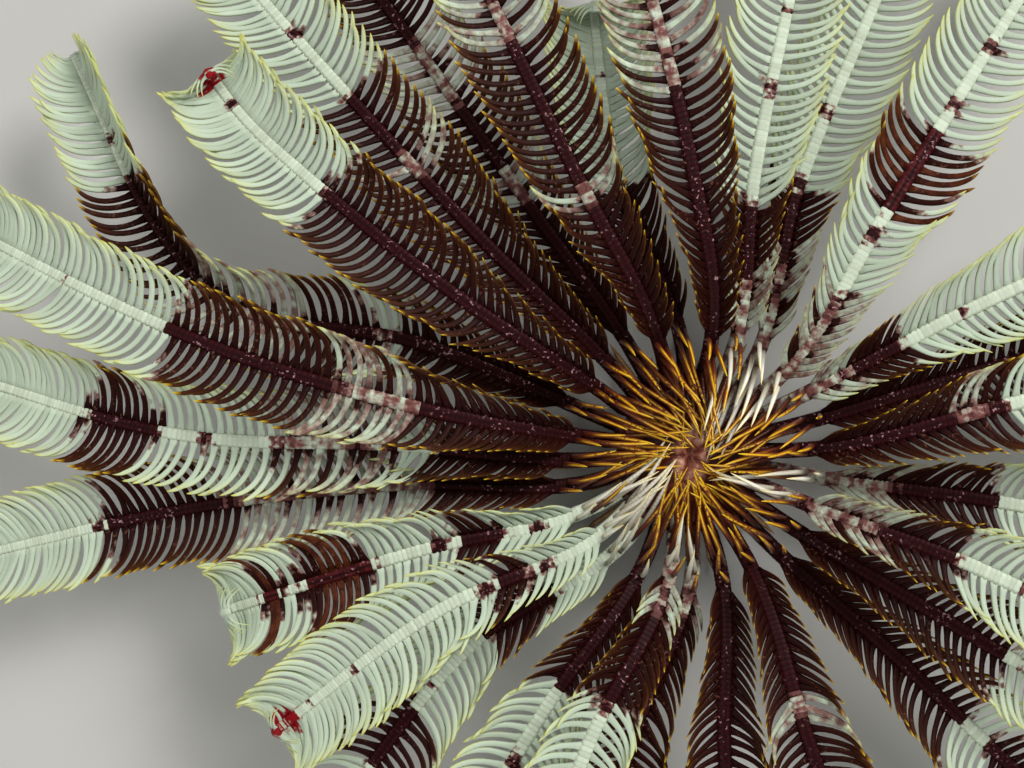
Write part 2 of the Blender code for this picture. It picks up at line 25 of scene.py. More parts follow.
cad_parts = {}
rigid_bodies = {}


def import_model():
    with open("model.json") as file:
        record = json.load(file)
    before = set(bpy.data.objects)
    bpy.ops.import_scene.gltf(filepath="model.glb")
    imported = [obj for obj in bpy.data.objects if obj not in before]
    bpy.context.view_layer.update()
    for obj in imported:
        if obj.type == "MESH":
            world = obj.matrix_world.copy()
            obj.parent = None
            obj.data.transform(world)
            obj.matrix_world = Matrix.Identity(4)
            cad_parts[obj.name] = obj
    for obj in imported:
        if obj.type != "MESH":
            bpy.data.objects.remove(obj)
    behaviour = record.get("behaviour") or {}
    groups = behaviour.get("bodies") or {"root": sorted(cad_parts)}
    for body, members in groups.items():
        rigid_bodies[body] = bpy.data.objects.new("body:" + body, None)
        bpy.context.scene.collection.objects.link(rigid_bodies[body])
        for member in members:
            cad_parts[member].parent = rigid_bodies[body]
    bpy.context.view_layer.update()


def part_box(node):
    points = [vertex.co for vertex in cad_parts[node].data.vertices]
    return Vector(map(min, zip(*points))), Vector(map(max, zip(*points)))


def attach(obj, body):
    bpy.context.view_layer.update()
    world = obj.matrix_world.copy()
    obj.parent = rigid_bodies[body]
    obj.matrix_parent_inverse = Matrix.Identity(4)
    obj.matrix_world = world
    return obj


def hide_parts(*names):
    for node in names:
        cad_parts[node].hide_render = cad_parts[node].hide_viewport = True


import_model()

MM = 0.001
UP = Vector((0, 0, 1))
SEED = 6006
END = 999.0
WELD = 1e-6
DISC_LOW, DISC_HIGH = (Vector(corner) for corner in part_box("disc"))
# Where the animal's own axis meets the floor.
CENTRE = (DISC_LOW + DISC_HIGH) / 2 * Vector((1, 1, 0))
log = logging.getLogger("feather_star")
Pair = tuple[float, float]
Triple = tuple[float, float, float]
Profile = tuple[Pair, ...]


class Tone(Enum):
    """How a stretch of an arm is coloured: how pale its ossicles are, or below 0 how rusty."""

    RUSTY = -1.0
    DARK = 0.0
    MOTTLED = 0.45
    PALE = 1.0


TONE_LETTERS = {"R": Tone.RUSTY, "D": Tone.DARK, "M": Tone.MOTTLED, "P": Tone.PALE}


@dataclass(frozen=True)
class ArmPlan:
    """One arm as it lies in the photo.

    Attributes:
        vias: Compass directions in degrees where it crosses each of RULE's via_radii.
        far: Compass direction of its far end.
        reach: Distance of the far end from the mouth, in mm.
        curl: Degrees that its tip curls over.
        tier: 0, 1 or 2, the highest.
        tones: Each tone's letter with the distance from the mouth in mm at which it ends.
        blush: How far before the curl the red of its growing tip begins, in mm, or 0 for none.
        white_spines: The share of its oral pinnules that are white.
        sweep: How far its pinnules bend forward, 0 to 1, where they close to a smooth margin.
        raised: Degrees more that its right row is raised over its outer half.
    """

    vias: tuple[float, ...]
    far: float
    reach: float
    curl: float
    tier: int
    tones: str
    blush: float = 0.0
    white_spines: float = 0.0
    sweep: float = 0.4
    raised: float = 0.0

    def bands(self) -> list[tuple[float, Tone]]:
        """Returns where each tone ends, with the tone; the last one has no end."""
        return [(float(word[1:] or END), TONE_LETTERS[word[0]]) for word in self.tones.split()]


# Anticlockwise from the photo's right.
ARMS = (
    ArmPlan((10, 11.3), 11.8, 96, 90, 2, "D34 M38 D41 P62 D70 P"),
    ArmPlan((16.5, 16.5), 17, 92, 120, 0, "D57 P66 D72 P"),
    ArmPlan((28.5, 26.5), 25.5, 98, 60, 1, "M24.5 D31.5 P68 D74 P", white_spines=0.2),
    ArmPlan((53, 55), 55.5, 100, 80, 2, "M29 P41 R53 P", white_spines=0.9),
    ArmPlan((68.5, 68), 68, 94, 150, 0, "M31 D39 P72 D79 P", white_spines=0.9),
    ArmPlan((78.5, 78.5), 79, 90, 60, 1, "M26 D35 P", white_spines=0.3),
    ArmPlan((92, 97), 98, 97, 120, 2, "D49 M62 D75 P"),
    ArmPlan((105,), 102.5, 62, 200, 0, "D38 P"),
    ArmPlan((113.5, 114.5), 114.5, 98, 90, 2, "D36 M40 D60 M70 D78 P"),
    ArmPlan((123, 124), 124.5, 95, 150, 0, "D42 M48 D58 M70 D82 P"),
    ArmPlan((134.5, 133.8), 133, 99, 70, 1, "D52 M58 D68 P", sweep=0.2),
    ArmPlan((146, 143.8), 142, 82, 190, 2, "D61 P", blush=0.9, sweep=1.0),
    ArmPlan((157.5, 161), 147, 103, 60, 0, "D43 P47 D56 M73 D87 P", sweep=0.7, raised=46.0),
    ArmPlan((169.5, 166.5), 162.5, 104, 120, 2, "D38 M51 D73 P", sweep=1.0),
    ArmPlan((177.5, 177.5), 174, 98, 150, 1, "D35 P41 M56 P74 D83 P", sweep=0.9),
    ArmPlan((185.5, 186), 188, 100, 80, 0, "D36 M66 D82 P", white_spines=0.3, sweep=0.6),
    ArmPlan(
        (198.5,), 198, 66, 200, 1, "P28.5 D34 P46.5 R56 P59.4 R61.6 P", white_spines=0.8, sweep=1.0
    ),
    ArmPlan((210,), 212.5, 65, 170, 2, "P28 D31.5 P", blush=2.8, white_spines=1.0, sweep=0.8),
    ArmPlan((220.5, 225), 226, 90, 90, 0, "P27 D37 P52 D62 P", white_spines=0.9, sweep=0.6),
    ArmPlan((239, 239), 239, 95, 60, 1, "D36 P58 D66 P", white_spines=0.3),
    ArmPlan((248.5, 249.5), 250, 90, 120, 2, "M22 D34 P60 D68 P", white_spines=0.3),
    ArmPlan((258, 257), 257, 88, 150, 0, "M23 D55 P62 D70 P", white_spines=0.2),
    ArmPlan((275.5, 275), 274.5, 92, 90, 1, "D58 M64 D74 P"),
    ArmPlan((291, 290), 289.5, 95, 60, 2, "D33 M37 D60 P"),
    ArmPlan((315.5, 316), 317, 97, 120, 0, "D52 P58 D68 P"),
    ArmPlan((327, 328), 328, 92, 90, 1, "D50 P72 D78 P"),
    ArmPlan((338.5, 336), 335.5, 96, 150, 2, "M27 D36.5 P60 D67 P", white_spines=0.4),
    ArmPlan((351.5, 351), 352, 98, 60, 0, "M29.5 D41.5 P68 D75 P", white_spines=0.4),
)
RAY_SIZES = (6, 6, 5, 6, 5)


def compass(azimuth: float, elevation: float = 0.0) -> Vector:
    """Returns the unit vector at an azimuth and elevation in degrees."""
    a, e = math.radians(azimuth), math.radians(elevation)
    return Vector((math.cos(a) * math.cos(e), math.sin(a) * math.cos(e), math.sin(e)))


def smooth(x: float) -> float:
    """Returns x held to 0..1, with soft ends."""
    x = min(1.0, max(0.0, x))
    return x * x * (3 - 2 * x)


def blend(first: float, last: float, share: float) -> float:
    """Returns the value a share of the way from first to last."""
    return first + (last - first) * share


def rays() -> Iterator[tuple[float, list[list[float]]]]:
    """Yields each ray's compass direction, with those of its arms' bases in pairs."""
    first = 0
    for size in RAY_SIZES:
        numbers = range(first, first + size)
        azimuths = [RULE.first_base_azimuth + n * 360 / len(ARMS) for n in numbers]
        yield sum(azimuths) / size, [azimuths[k : k + 2] for k in range(0, size, 2)]
        first += size


def turn_of(ahead: Vector, above: Vector) -> Quaternion:
    """Returns the turn that takes X ahead and Z as near above as it can.

    Args:
        ahead: Where the piece's own X is to point.
        above: Where its own Z is to point, before it is made square to X.
    """
    x = ahead.normalized()
    y = above.cross(x).normalized()
    return Matrix((x, y, x.cross(y))).transposed().to_quaternion()


@dataclass(frozen=True)
class ArmRule:
    """How every arm rises, droops, curls and narrows; the solids follow the same rule."""

    first_base_azimuth: float = 2.8
    base_radius: float = 11.5 * MM
    base_height: float = 12.6 * MM
    via_radii: Pair = (40 * MM, 70 * MM)
    tier_pitch: Triple = (22.0, 39.0, 55.0)
    tier_droop: Triple = (4.0, 5.5, 7.0)
    rise_length: float = 34 * MM
    droop_length: float = 30 * MM
    curl_radius: float = 1.7 * MM
    step: float = 0.5 * MM
    end_swing: float = 6 * MM
    handle: float = 0.36
    curve_points: int = 200
    width: float = 2.2 * MM
    tip_width: float = 1.1 * MM
    width_power: float = 0.6
    depth_share: float = 0.8


RULE = ArmRule()


class ArmCourse:
    """The course of one arm's axis, with its directions along it."""

    def __init__(self, number: int) -> None:
        """Lays the arm out.

        Args:
            number: The arm's place in ARMS.
        """
        self.plan = ARMS[number]
        self.bands = self.plan.bands()
        self.name = f"arm_{number + 1:02d}"
        self.azimuth = RULE.first_base_azimuth + number * 360 / len(ARMS)
        self.points: list[Vector] = []
        self.along: list[Vector] = []
        self.side: list[Vector] = []
        self.trace(self.plan_course())

    def plan_course(self) -> list[Vector]:
        """Returns points a step apart on a smooth curve in plan, about the animal's own axis."""
        stations = [compass(self.azimuth) * RULE.base_radius]
        stations += [compass(via) * radius for via, radius in zip(self.plan.vias, RULE.via_radii)]
        stations.append(compass(self.plan.far) * self.plan.reach * MM)
        headings = [compass(self.azimuth)]
        headings += [(after - before).normalized() for before, after in zip(stations, stations[2:])]
        last = stations[-1] - stations[-2] - headings[-1] * RULE.end_swing
        headings.append(last.normalized())
        curve = [stations[0]]
        for k in range(len(stations) - 1):
            handle = (stations[k + 1] - stations[k]).length * RULE.handle
            leave = stations[k] + headings[k] * handle
            arrive = stations[k + 1] - headings[k + 1] * handle
            curve += interpolate_bezier(
                stations[k], leave, arrive, stations[k + 1], RULE.curve_points
            )[1:]
        walked = np.cumsum([0.0] + [(b - a).length for a, b in zip(curve, curve[1:])])
        places = np.arange(0, walked[-1], RULE.step)
        across = np.interp(places, walked, [point.x for point in curve])
        ahead = np.interp(places, walked, [point.y for point in curve])
        return [Vector((x, y, 0)) for x, y in zip(across, ahead)]

    def pitch(self, walked: float) -> float:
        """Returns the degrees that the arm climbs, this far along it in plan."""
        if walked < RULE.rise_length:
            return RULE.tier_pitch[self.plan.tier] * (1 - walked / RULE.rise_length) ** 2
        droop = RULE.tier_droop[self.plan.tier]
        return -droop * smooth((walked - RULE.rise_length) / RULE.droop_length)

    def trace(self, plan: list[Vector]) -> None:
        """Works out the points and directions along the arm.

        Args:
            plan: The points of its course in plan.
        """
        place = CENTRE + plan[0] + UP * RULE.base_height
        walked, last, step = 0.0, len(plan) - 1, RULE.step
        level = compass(self.azimuth)
        while walked < (last - 1) * step:
            k = int(walked / step)
            level = (plan[k + 1] - plan[k]).normalized()
            slope = math.radians(self.pitch(walked))
            place = self.add_point(place, slope, level)
            walked += step * math.cos(slope)
        turned, start_pitch = 0.0, self.pitch(walked)
        while turned < self.plan.curl:
            place = self.add_point(place, math.radians(start_pitch + turned), level)
            turned += math.degrees(step / RULE.curl_radius)
        self.length = (len(self.points) - 1) * step
        self.curl_start = self.length - math.radians(self.plan.curl) * RULE.curl_radius

    def add_point(self, place: Vector, slope: float, level: Vector) -> Vector:
        """Notes one point of the axis and returns the next."""
        along = level * math.cos(slope) + UP * math.sin(slope)
        self.points.append(place)
        self.along.append(along)
        self.side.append(UP.cross(level))
        return place + along * RULE.step

    def at(self, s: float) -> tuple[Vector, Vector, Vector, Vector]:
        """Returns the point, direction, left and up at a length along the arm."""
        k = max(0, min(int(s / RULE.step), len(self.points) - 2))
        share = s / RULE.step - k
        point = self.points[k].lerp(self.points[k + 1], share)
        along = self.along[k].lerp(self.along[k + 1], min(1.0, max(0.0, share))).normalized()
        side = self.side[k]
        return point, along, side, along.cross(side)

    def width(self, s: float) -> float:
        """Returns the arm's width at a length along it."""
        left = max(0.0, 1 - s / self.length)
        return RULE.tip_width + (RULE.width - RULE.tip_width) * left**RULE.width_power

    def radius(self, s: float) -> float:
        """Returns how far from the mouth the arm has come, in mm, its curl taken as straight."""
        flat = min(s, self.curl_start)
        point = self.at(flat)[0] - CENTRE
        return math.hypot(point.x, point.y) / MM + (s - flat) / MM


def linear(code: str) -> tuple[float, float, float, float]:
    """Returns an sRGB hex colour such as "#8a4a16" as linear red, green, blue and alpha."""
    parts = [int(code[k : k + 2], 16) / 255 for k in (1, 3, 5)]
    light = [c / 12.92 if c <= 0.04045 else ((c + 0.055) / 1.055) ** 2.4 for c in parts]
    return (light[0], light[1], light[2], 1.0)


def add_node(
    tree: NodeTree,
    kind: str,
    settings: dict[str, object] | None = None,
    inputs: dict[str | int, object] | None = None,
    output: str | int = 0,
) -> NodeSocket | None:
    """Adds one node to a tree.

    Args:
        tree: The tree.
        kind: The node's type.
        settings: Its own settings by name; "stops" are the places and hex colours of a ramp.
        inputs: Values or other nodes' outputs for its sockets, by name or number.
        output: Which of its outputs to return.

    Returns:
        That output, or None where the node has none.
    """
    node = tree.nodes.new(kind)
    for name, value in (settings or {}).items():
        if name == "stops":
            elements = node.color_ramp.elements
            while len(elements) < len(value):
                elements.new(1.0)
            for element, (place, code) in zip(elements, value):
                element.position = place
                element.color = linear(code)
        else:
            setattr(node, name, value)
    for name, value in (inputs or {}).items():
        if isinstance(value, NodeSocket):
            tree.links.new(value, node.inputs[name])
        else:
            node.inputs[name].default_value = value
    return node.outputs[output] if len(node.outputs) else None


def new_coat(name: str) -> tuple[Material, Node]:
    """Returns a new material and its shader."""
    made = bpy.data.materials.new(name)
    made.use_nodes = True
    return made, made.node_tree.nodes["Principled BSDF"]


Stops = tuple[tuple[float, str], ...]
NOISE = "ShaderNodeTexNoise"
RANGE = "ShaderNodeMapRange"
MIX = "ShaderNodeMix"
MATH = "ShaderNodeMath"
BLEND = {"data_type": "RGBA"}
DARKEN = {"data_type": "RGBA", "blend_type": "MULTIPLY"}
MULTIPLY = {"operation": "MULTIPLY"}
SUBTRACT = {"operation": "SUBTRACT"}
ADD_PRODUCT = {"operation": "MULTIPLY_ADD"}


@dataclass(frozen=True)
class EdgeRule:
    """Between which values of a mark or a noise each colour comes in.

    Attributes:
        trim: The mark of the trim.
        patch: The noise that gathers the flecks into clumps; on the ossicles the clumped flecks are
            partly painted glistening highlights.
        fleck: How much above its least value the flecks' noise makes a full fleck.
        rust: The blotchy noise on rusty stretches.
        rust_share: How much rust there is below and above that.
        stain: A stain's strength with its share of the blotchy noise.
        blush: The same for the red of a growing tip.
        blotch_share: That share.
        shade: How much of the shade's colour the darkest pieces take.
    """

    trim: Pair = (0.3, 0.75)
    patch: Pair = (0.44, 0.58)
    fleck: float = 0.04
    rust: Pair = (0.4, 0.62)
    rust_share: Pair = (0.2, 0.95)
    stain: Pair = (0.6, 0.8)
    blush: Pair = (0.9, 1.04)
    blotch_share: float = 0.8
    shade: float = 0.3


EDGES = EdgeRule()


@dataclass(frozen=True)
class LimbFinish:
    """Calcite joints under a thin living skin: satin, dark or pale by the arm's own bands.

    Attributes:
        dark: Colours from root to tip where the arm is dark, each with its place.
        pale: The same where it is pale.
        rust: Colour that rusty stretches are nearer to.
        trims: Colour of the trim, such as an edge or a groove, on dark and on pale.
        trim_reach: Places along the piece between which the trim comes in.
        stain_fade: How fast a stain fades along the piece.
        ring_length: Length of the joints that show as rings, as a share of the piece.
        shade: What the darker ones of the pieces are multiplied by.
        ring_depth: How deep the rings are, as a share of the relief.
        mottle: How strongly the noise mottles what is neither dark nor pale.
    """

    name: str
    dark: Stops
    pale: Stops
    trims: tuple[str, str]
    trim_reach: Pair = (-1.0, 0.0)
    rust: str = "#582a17"
    fleck: str = "#8d4a58"
    fleck_share: float = 0.36
    stain_fade: float = 0.0
    ring_length: float = 1.0
    roughness: float = 0.42
    shine: float = 0.25
    blush: str = "#86141a"
    blush_reach: float = 1000.0
    shade: str = "#a09890"
    # Size of the clumps that the flecks gather in; on the ossicles these clumps are partly painted
    # glistening highlights.
    fleck_and_glint_patch_size: float = 4.5 * MM
    ring_depth: float = 0.35
    between: str = "#7a544c"
    mottle: float = 8.0
    mottle_size: float = 1.3 * MM
    fleck_size: float = 0.5 * MM
    pit_size: float = 0.22 * MM
    relief: float = 0.06 * MM
    relief_strength: float = 0.5

    def material(self) -> Material:
        """Returns the finish as a material, whose marks are attributes of the mesh."""
        made, shader = new_coat(self.name)
        tree = made.node_tree
        marks = {
            name: add_node(tree, "ShaderNodeAttribute", {"attribute_name": name}, output="Fac")
            for name in ("along", "trim", "pale", "stain", "seed", "blush")
        }
        place = add_node(tree, "ShaderNodeTexCoord", output="Object")
        blotch, speckle, fleck_and_glint_patches = (
            add_node(tree, NOISE, inputs={"Vector": place, "Scale": 1 / size})
            for size in (self.mottle_size, self.fleck_size, self.fleck_and_glint_patch_size)
        )
        (low, high), (least, most) = EDGES.rust, EDGES.rust_share
        rust = add_node(tree, RANGE, inputs={0: blotch, 1: low, 2: high, 3: least, 4: most})
        rusty = {0: marks["pale"], 1: 0.0, 2: Tone.RUSTY.value, 4: rust}
        rust = add_node(tree, RANGE, inputs=rusty)
        marks["pale"] = add_node(tree, RANGE, inputs={0: marks["pale"]})
        pale = self.pale_share(tree, marks, blotch)
        low, high = EDGES.trim
        trim = add_node(tree, RANGE, inputs={0: marks["trim"], 1: low, 2: high})
        low, high = self.trim_reach
        trim = add_node(tree, RANGE, inputs={0: marks["along"], 1: low, 2: high, 4: trim})
        # Flecks gather in clumps by this noise; on the ossicles the clumps are partly painted
        # glistening highlights.
        low, high = EDGES.patch
        fleck_and_glint_patches = add_node(tree, RANGE, inputs={0: fleck_and_glint_patches, 1: low, 2: high})
        least = 1 - self.fleck_share
        flecked = {0: speckle, 1: least, 2: least + EDGES.fleck, 4: fleck_and_glint_patches}
        flecks = add_node(tree, RANGE, inputs=flecked)
        dark, light = (
            add_node(tree, "ShaderNodeValToRGB", {"stops": stops}, {0: marks["along"]})
            for stops in (self.dark, self.pale)
        )
        for share, code in ((rust, self.rust), (trim, self.trims[0]), (flecks, self.fleck)):
            dark = add_node(tree, MIX, BLEND, {0: share, 6: dark, 7: linear(code)}, 2)
        light = add_node(tree, MIX, BLEND, {0: trim, 6: light, 7: linear(self.trims[1])}, 2)
        first = add_node(tree, RANGE, inputs={0: pale, 2: 0.5})
        second = add_node(tree, RANGE, inputs={0: pale, 1: 0.5})
        shade = add_node(tree, RANGE, inputs={0: marks["seed"], 3: 0.0, 4: EDGES.shade})
        colour = dark
        for share, settings, over in (
            (first, BLEND, linear(self.between)),
            (second, BLEND, light),
            (shade, DARKEN, linear(self.shade)),
            (self.blush_share(tree, marks, blotch), BLEND, linear(self.blush)),
        ):
            colour = add_node(tree, MIX, settings, {0: share, 6: colour, 7: over}, 2)
        tree.links.new(colour, shader.inputs["Base Color"])
        shader.inputs["Roughness"].default_value = self.roughness
        shader.inputs["Specular IOR Level"].default_value = self.shine
        self.add_relief(tree, shader, marks["along"], place)
        return made

    def blush_share(
        self, tree: NodeTree, marks: dict[str, NodeSocket], blotch: NodeSocket
    ) -> NodeSocket:
        """Returns how red each spot is; its arguments are those of pale_share."""
        spread = {0: marks["along"], 1: 0.0, 2: self.blush_reach, 3: marks["blush"], 4: 0.0}
        red = add_node(tree, RANGE, inputs=spread)
        red = add_node(tree, MATH, ADD_PRODUCT, {0: blotch, 1: EDGES.blotch_share, 2: red})
        low, high = EDGES.blush
        return add_node(tree, RANGE, inputs={0: red, 1: low, 2: high})

    def pale_share(
        self, tree: NodeTree, marks: dict[str, NodeSocket], blotch: NodeSocket
    ) -> NodeSocket:
        """Returns how pale each spot is, from the piece's own marks and a blotchy noise.

        Args:
            tree: The material's tree.
            marks: Readings of the mesh's attributes.
            blotch: The noise.
        """
        faded = {0: marks["along"], 1: -self.stain_fade, 2: marks["stain"]}
        level = add_node(tree, MATH, ADD_PRODUCT, faded)
        level = add_node(tree, MATH, ADD_PRODUCT, {0: blotch, 1: EDGES.blotch_share, 2: level})
        low, high = EDGES.stain
        clean = add_node(tree, RANGE, inputs={0: level, 1: low, 2: high, 3: 1.0, 4: 0.0})
        rest = add_node(tree, MATH, SUBTRACT, {0: 1.0, 1: marks["pale"]})
        mixed = add_node(tree, MATH, MULTIPLY, {0: marks["pale"], 1: rest})
        mixed = add_node(tree, MATH, MULTIPLY, {0: mixed, 1: self.mottle})
        swing = add_node(tree, MATH, SUBTRACT, {0: blotch, 1: 0.5})
        clamped = {**ADD_PRODUCT, "use_clamp": True}
        pale = add_node(tree, MATH, clamped, {0: swing, 1: mixed, 2: marks["pale"]})
        return add_node(tree, MATH, MULTIPLY, {0: pale, 1: clean})

    def add_relief(
        self, tree: NodeTree, shader: Node, along: NodeSocket, place: NodeSocket
    ) -> None:
        """Gives the skin fine pits, and rings at its joints.

        Args:
            tree: The material's tree.
            shader: Its shader.
            along: The place along the piece.
            place: The object's own coordinates.
        """
        pits = add_node(tree, NOISE, inputs={"Vector": place, "Scale": 1 / self.pit_size})
        turns = add_node(tree, MATH, MULTIPLY, {0: along, 1: math.tau / self.ring_length})
        wave = add_node(tree, MATH, {"operation": "COSINE"}, {0: turns})
        height = add_node(tree, MATH, ADD_PRODUCT, {0: wave, 1: -self.ring_depth, 2: pits})
        shape = {"Height": height, "Distance": self.relief, "Strength": self.relief_strength}
        relief = add_node(tree, "ShaderNodeBump", inputs=shape)
        tree.links.new(relief, shader.inputs["Normal"])


# The arm's own ossicles: deep maroon with rosy flecks, which gather in clumps that are partly
# painted glistening highlights, or greenish white like damp porcelain.
OSSICLE_FINISH = LimbFinish(
    "skin_on_arm_ossicles",
    ((0.0, "#22080a"), (0.5, "#340f11"), (1.0, "#260a0b")),
    ((0.0, "#bfcab2"), (0.5, "#ccd6c1"), (1.0, "#c0cbb4")),
    ("#240809", "#c5d0ba"),
    rust="#521b1d",
    # Rosy fleck colour: partly the skin's own flecks, partly painted glistening highlights.
    fleck="#a98084",
    fleck_share=0.37,
    roughness=0.5,
    shine=0.06,
    relief=0.04 * MM,
    between="#7d504b",
)
# Feeding pinnules: brown-black with golden tips and edges, or greenish white with yellow edges.
PINNULE_FINISH = LimbFinish(
    "skin_on_feeding_pinnules",
    ((0.0, "#200706"), (0.6, "#2e1009"), (0.87, "#42210c"), (0.94, "#a8801c"), (1.0, "#e8c838")),
    ((0.0, "#c6d1bb"), (0.12, "#b4c2ac"), (0.6, "#bfcdb6"), (0.9, "#c9d2a0"), (1.0, "#ccc648")),
    ("#5e4014", "#c2c878"),
    trim_reach=(0.2, 0.7),
    fleck="#5e3a2a",
    fleck_share=0.38,
    stain_fade=1.0,
    ring_length=0.07,
    roughness=0.5,
    shine=0.06,
    blush_reach=0.8,
    ring_depth=0.15,
    relief=0.035 * MM,
    between="#84655c",
)
# Oral pinnules: stiff smooth spines, brown at the root with a golden ridge along the upper side of
# the outer half, partly their own yellow and partly a painted highlight.
SPINE_FINISH = LimbFinish(
    "smooth_oral_spines",
    ((0.0, "#2a0c05"), (0.25, "#602610"), (0.6, "#8c4618"), (0.8, "#ad641a"), (0.95, "#efc01c")),
    ((0.0, "#a48c78"), (0.25, "#ddd6bf"), (0.6, "#f0ecd8"), (0.85, "#f2e2a0"), (1.0, "#e4bd36")),
    # Ridge colours on the upper side of dark and of white spines: partly their own colour, partly a
    # painted highlight.
    ("#f0bf18", "#faf8ea"),
    trim_reach=(0.35, 0.6),
    fleck="#6e3014",
    fleck_share=0.46,
    stain_fade=1.0,
    ring_length=0.055,
    roughness=0.33,
    shine=0.5,
)
# Cirri: buff horn-like joints, darker where they meet.
CIRRUS_FINISH = LimbFinish(
    "horny_cirrus_joints",
    ((0.0, "#5f3c22"), (0.5, "#a2784d"), (1.0, "#6f4a2c")),
    ((0.0, "#5f3c22"), (1.0, "#a2784d")),
    ("#b58a5c", "#b58a5c"),
    fleck="#8c6640",
)
# Calyx plates: maroon brown and matt, with paler worn edges.
PLATE_FINISH = LimbFinish(
    "matt_calyx_plates",
    ((0.0, "#34110d"), (0.5, "#5a2a20"), (1.0, "#3a130c")),
    ((0.0, "#cfc9b9"), (1.0, "#e5e0d2")),
    ("#6d3427", "#cfc9b9"),
    fleck="#8a5648",
    roughness=0.55,
)


@dataclass(frozen=True)
class TegmenFinish:
    """Bare living skin over the mouth: soft, damp and pinkish, with darker food grooves and with
    painted shade that darkens it away from the mouth, between the spines.
    """

    name: str = "damp_tegmen_skin"
    skin: str = "#a35a46"
    pale: str = "#cfa084"
    groove: str = "#6a2618"
    # Colour of the painted shade on the skin away from the mouth, between the spines.
    edge: str = "#451710"
    roughness: float = 0.34
    blotch_size: float = 0.8 * MM
    blotch_edge: Pair = (0.38, 0.64)
    grain_size: float = 0.3 * MM
    relief: float = 0.12 * MM
    relief_strength: float = 0.6
    glow: float = 0.15
    glow_depth: Triple = (1.0 * MM, 0.4 * MM, 0.25 * MM)

    def material(self) -> Material:
        """Returns the finish as a material."""
        made, shader = new_coat(self.name)
        tree = made.node_tree
        place = add_node(tree, "ShaderNodeTexCoord", output="Object")
        blotch, grain = (
            add_node(tree, NOISE, inputs={"Vector": place, "Scale": 1 / size})
            for size in (self.blotch_size, self.grain_size)
        )
        low, high = self.blotch_edge
        spots = add_node(tree, RANGE, inputs={0: blotch, 1: low, 2: high})
        edge, groove = (
            add_node(tree, "ShaderNodeAttribute", {"attribute_name": name}, output="Fac")
            for name in ("edge", "groove")
        )
        colour = linear(self.skin)
        # Pale spots, then painted shade away from the mouth (the edge mark), then the darker food
        # grooves.
        for share, code in ((spots, self.pale), (edge, self.edge), (groove, self.groove)):
            colour = add_node(tree, MIX, BLEND, {0: share, 6: colour, 7: linear(code)}, 2)
        tree.links.new(colour, shader.inputs["Base Color"])
        shader.inputs["Roughness"].default_value = self.roughness
        shader.inputs["Subsurface Weight"].default_value = self.glow
        shader.inputs["Subsurface Radius"].default_value = self.glow_depth
        shape = {"Height": grain, "Distance": self.relief, "Strength": self.relief_strength}
        relief = add_node(tree, "ShaderNodeBump", inputs=shape)
        tree.links.new(relief, shader.inputs["Normal"])
        return made


def tube_mesh(
    name: str,
    rings: Sequence[Sequence[Vector]],
    along: Sequence[float],
    trim: Sequence[float],
) -> Mesh:
    """Returns a closed tube through rings of points, with a patch map and its marks.

    Args:
        name: The mesh's name.
        rings: Equally many points round each ring, anticlockwise as seen from the far end.
        along: Each ring's share of the way along, kept as the attribute "along".
        trim: How far each point of a ring belongs to the trim, kept as the attribute "trim".
    """
    sides, count = len(rings[0]), len(rings)
    faces, places = [], []
    for i in range(count - 1):
        for k in range(sides):
            n = (k + 1) % sides
            faces.append((i * sides + k, i * sides + n, (i + 1) * sides + n, (i + 1) * sides + k))
            left, right = k / sides, (k + 1) / sides
            low, high = along[i], along[i + 1]
            places += [(left, low), (right, low), (right, high), (left, high)]
    faces.append(tuple(reversed(range(sides))))
    faces.append(tuple(range((count - 1) * sides, count * sides)))
    places += [(0.5, along[0])] * sides + [(0.5, along[-1])] * sides
    mesh = bpy.data.meshes.new(name)
    mesh.from_pydata([point for ring in rings for point in ring], [], faces)
    patch = mesh.uv_layers.new(name="OFBake")
    patch.data.foreach_set("uv", np.array(places, dtype=np.float32).ravel())
    share = mesh.attributes.new("along", "FLOAT", "POINT")
    share.data.foreach_set("value", np.repeat(np.array(along, dtype=np.float32), sides))
    edge = mesh.attributes.new("trim", "FLOAT", "POINT")
    edge.data.foreach_set("value", np.tile(np.array(trim, dtype=np.float32), count))
    mesh.shade_smooth()
    return mesh


class Shape(Enum):
    OSSICLE_LEFT = 0
    OSSICLE_RIGHT = 1
    PINNULE_LEFT_A = 2
    PINNULE_LEFT_B = 3
    PINNULE_LEFT_C = 4
    PINNULE_RIGHT_A = 5
    PINNULE_RIGHT_B = 6
    PINNULE_RIGHT_C = 7
    BLADE_LEFT_A = 8
    BLADE_LEFT_B = 9
    BLADE_LEFT_C = 10
    BLADE_RIGHT_A = 11
    BLADE_RIGHT_B = 12
    BLADE_RIGHT_C = 13
    SPINE_A = 14
    SPINE_B = 15
    CIRRAL = 16
    CLAW = 17


@dataclass(frozen=True)
class Section:
    """An outline as shares of width and depth, and how far each of its points is trim."""

    points: Profile
    trim: tuple[float, ...]


def round_section(sides: int) -> Section:
    """Returns a round section whose upper side is the trim."""
    turns = [k * math.tau / sides for k in range(sides)]
    points = tuple((0.5 * math.cos(turn), 0.5 * math.sin(turn)) for turn in turns)
    return Section(points, tuple(smooth((math.sin(turn) - 0.7) / 0.3) for turn in turns))


ROUND = round_section(8)
# A ribbon with a groove along its upper side and the trim on its edges.
GROOVED = Section(
    (
        (0.5, -0.05), (0.34, 0.42), (0.0, 0.2), (-0.34, 0.42),
        (-0.5, -0.05), (-0.26, -0.5), (0.26, -0.5),
    ),
    (1.0, 0.08, 0.0, 0.08, 1.0, 0.1, 0.1),
)
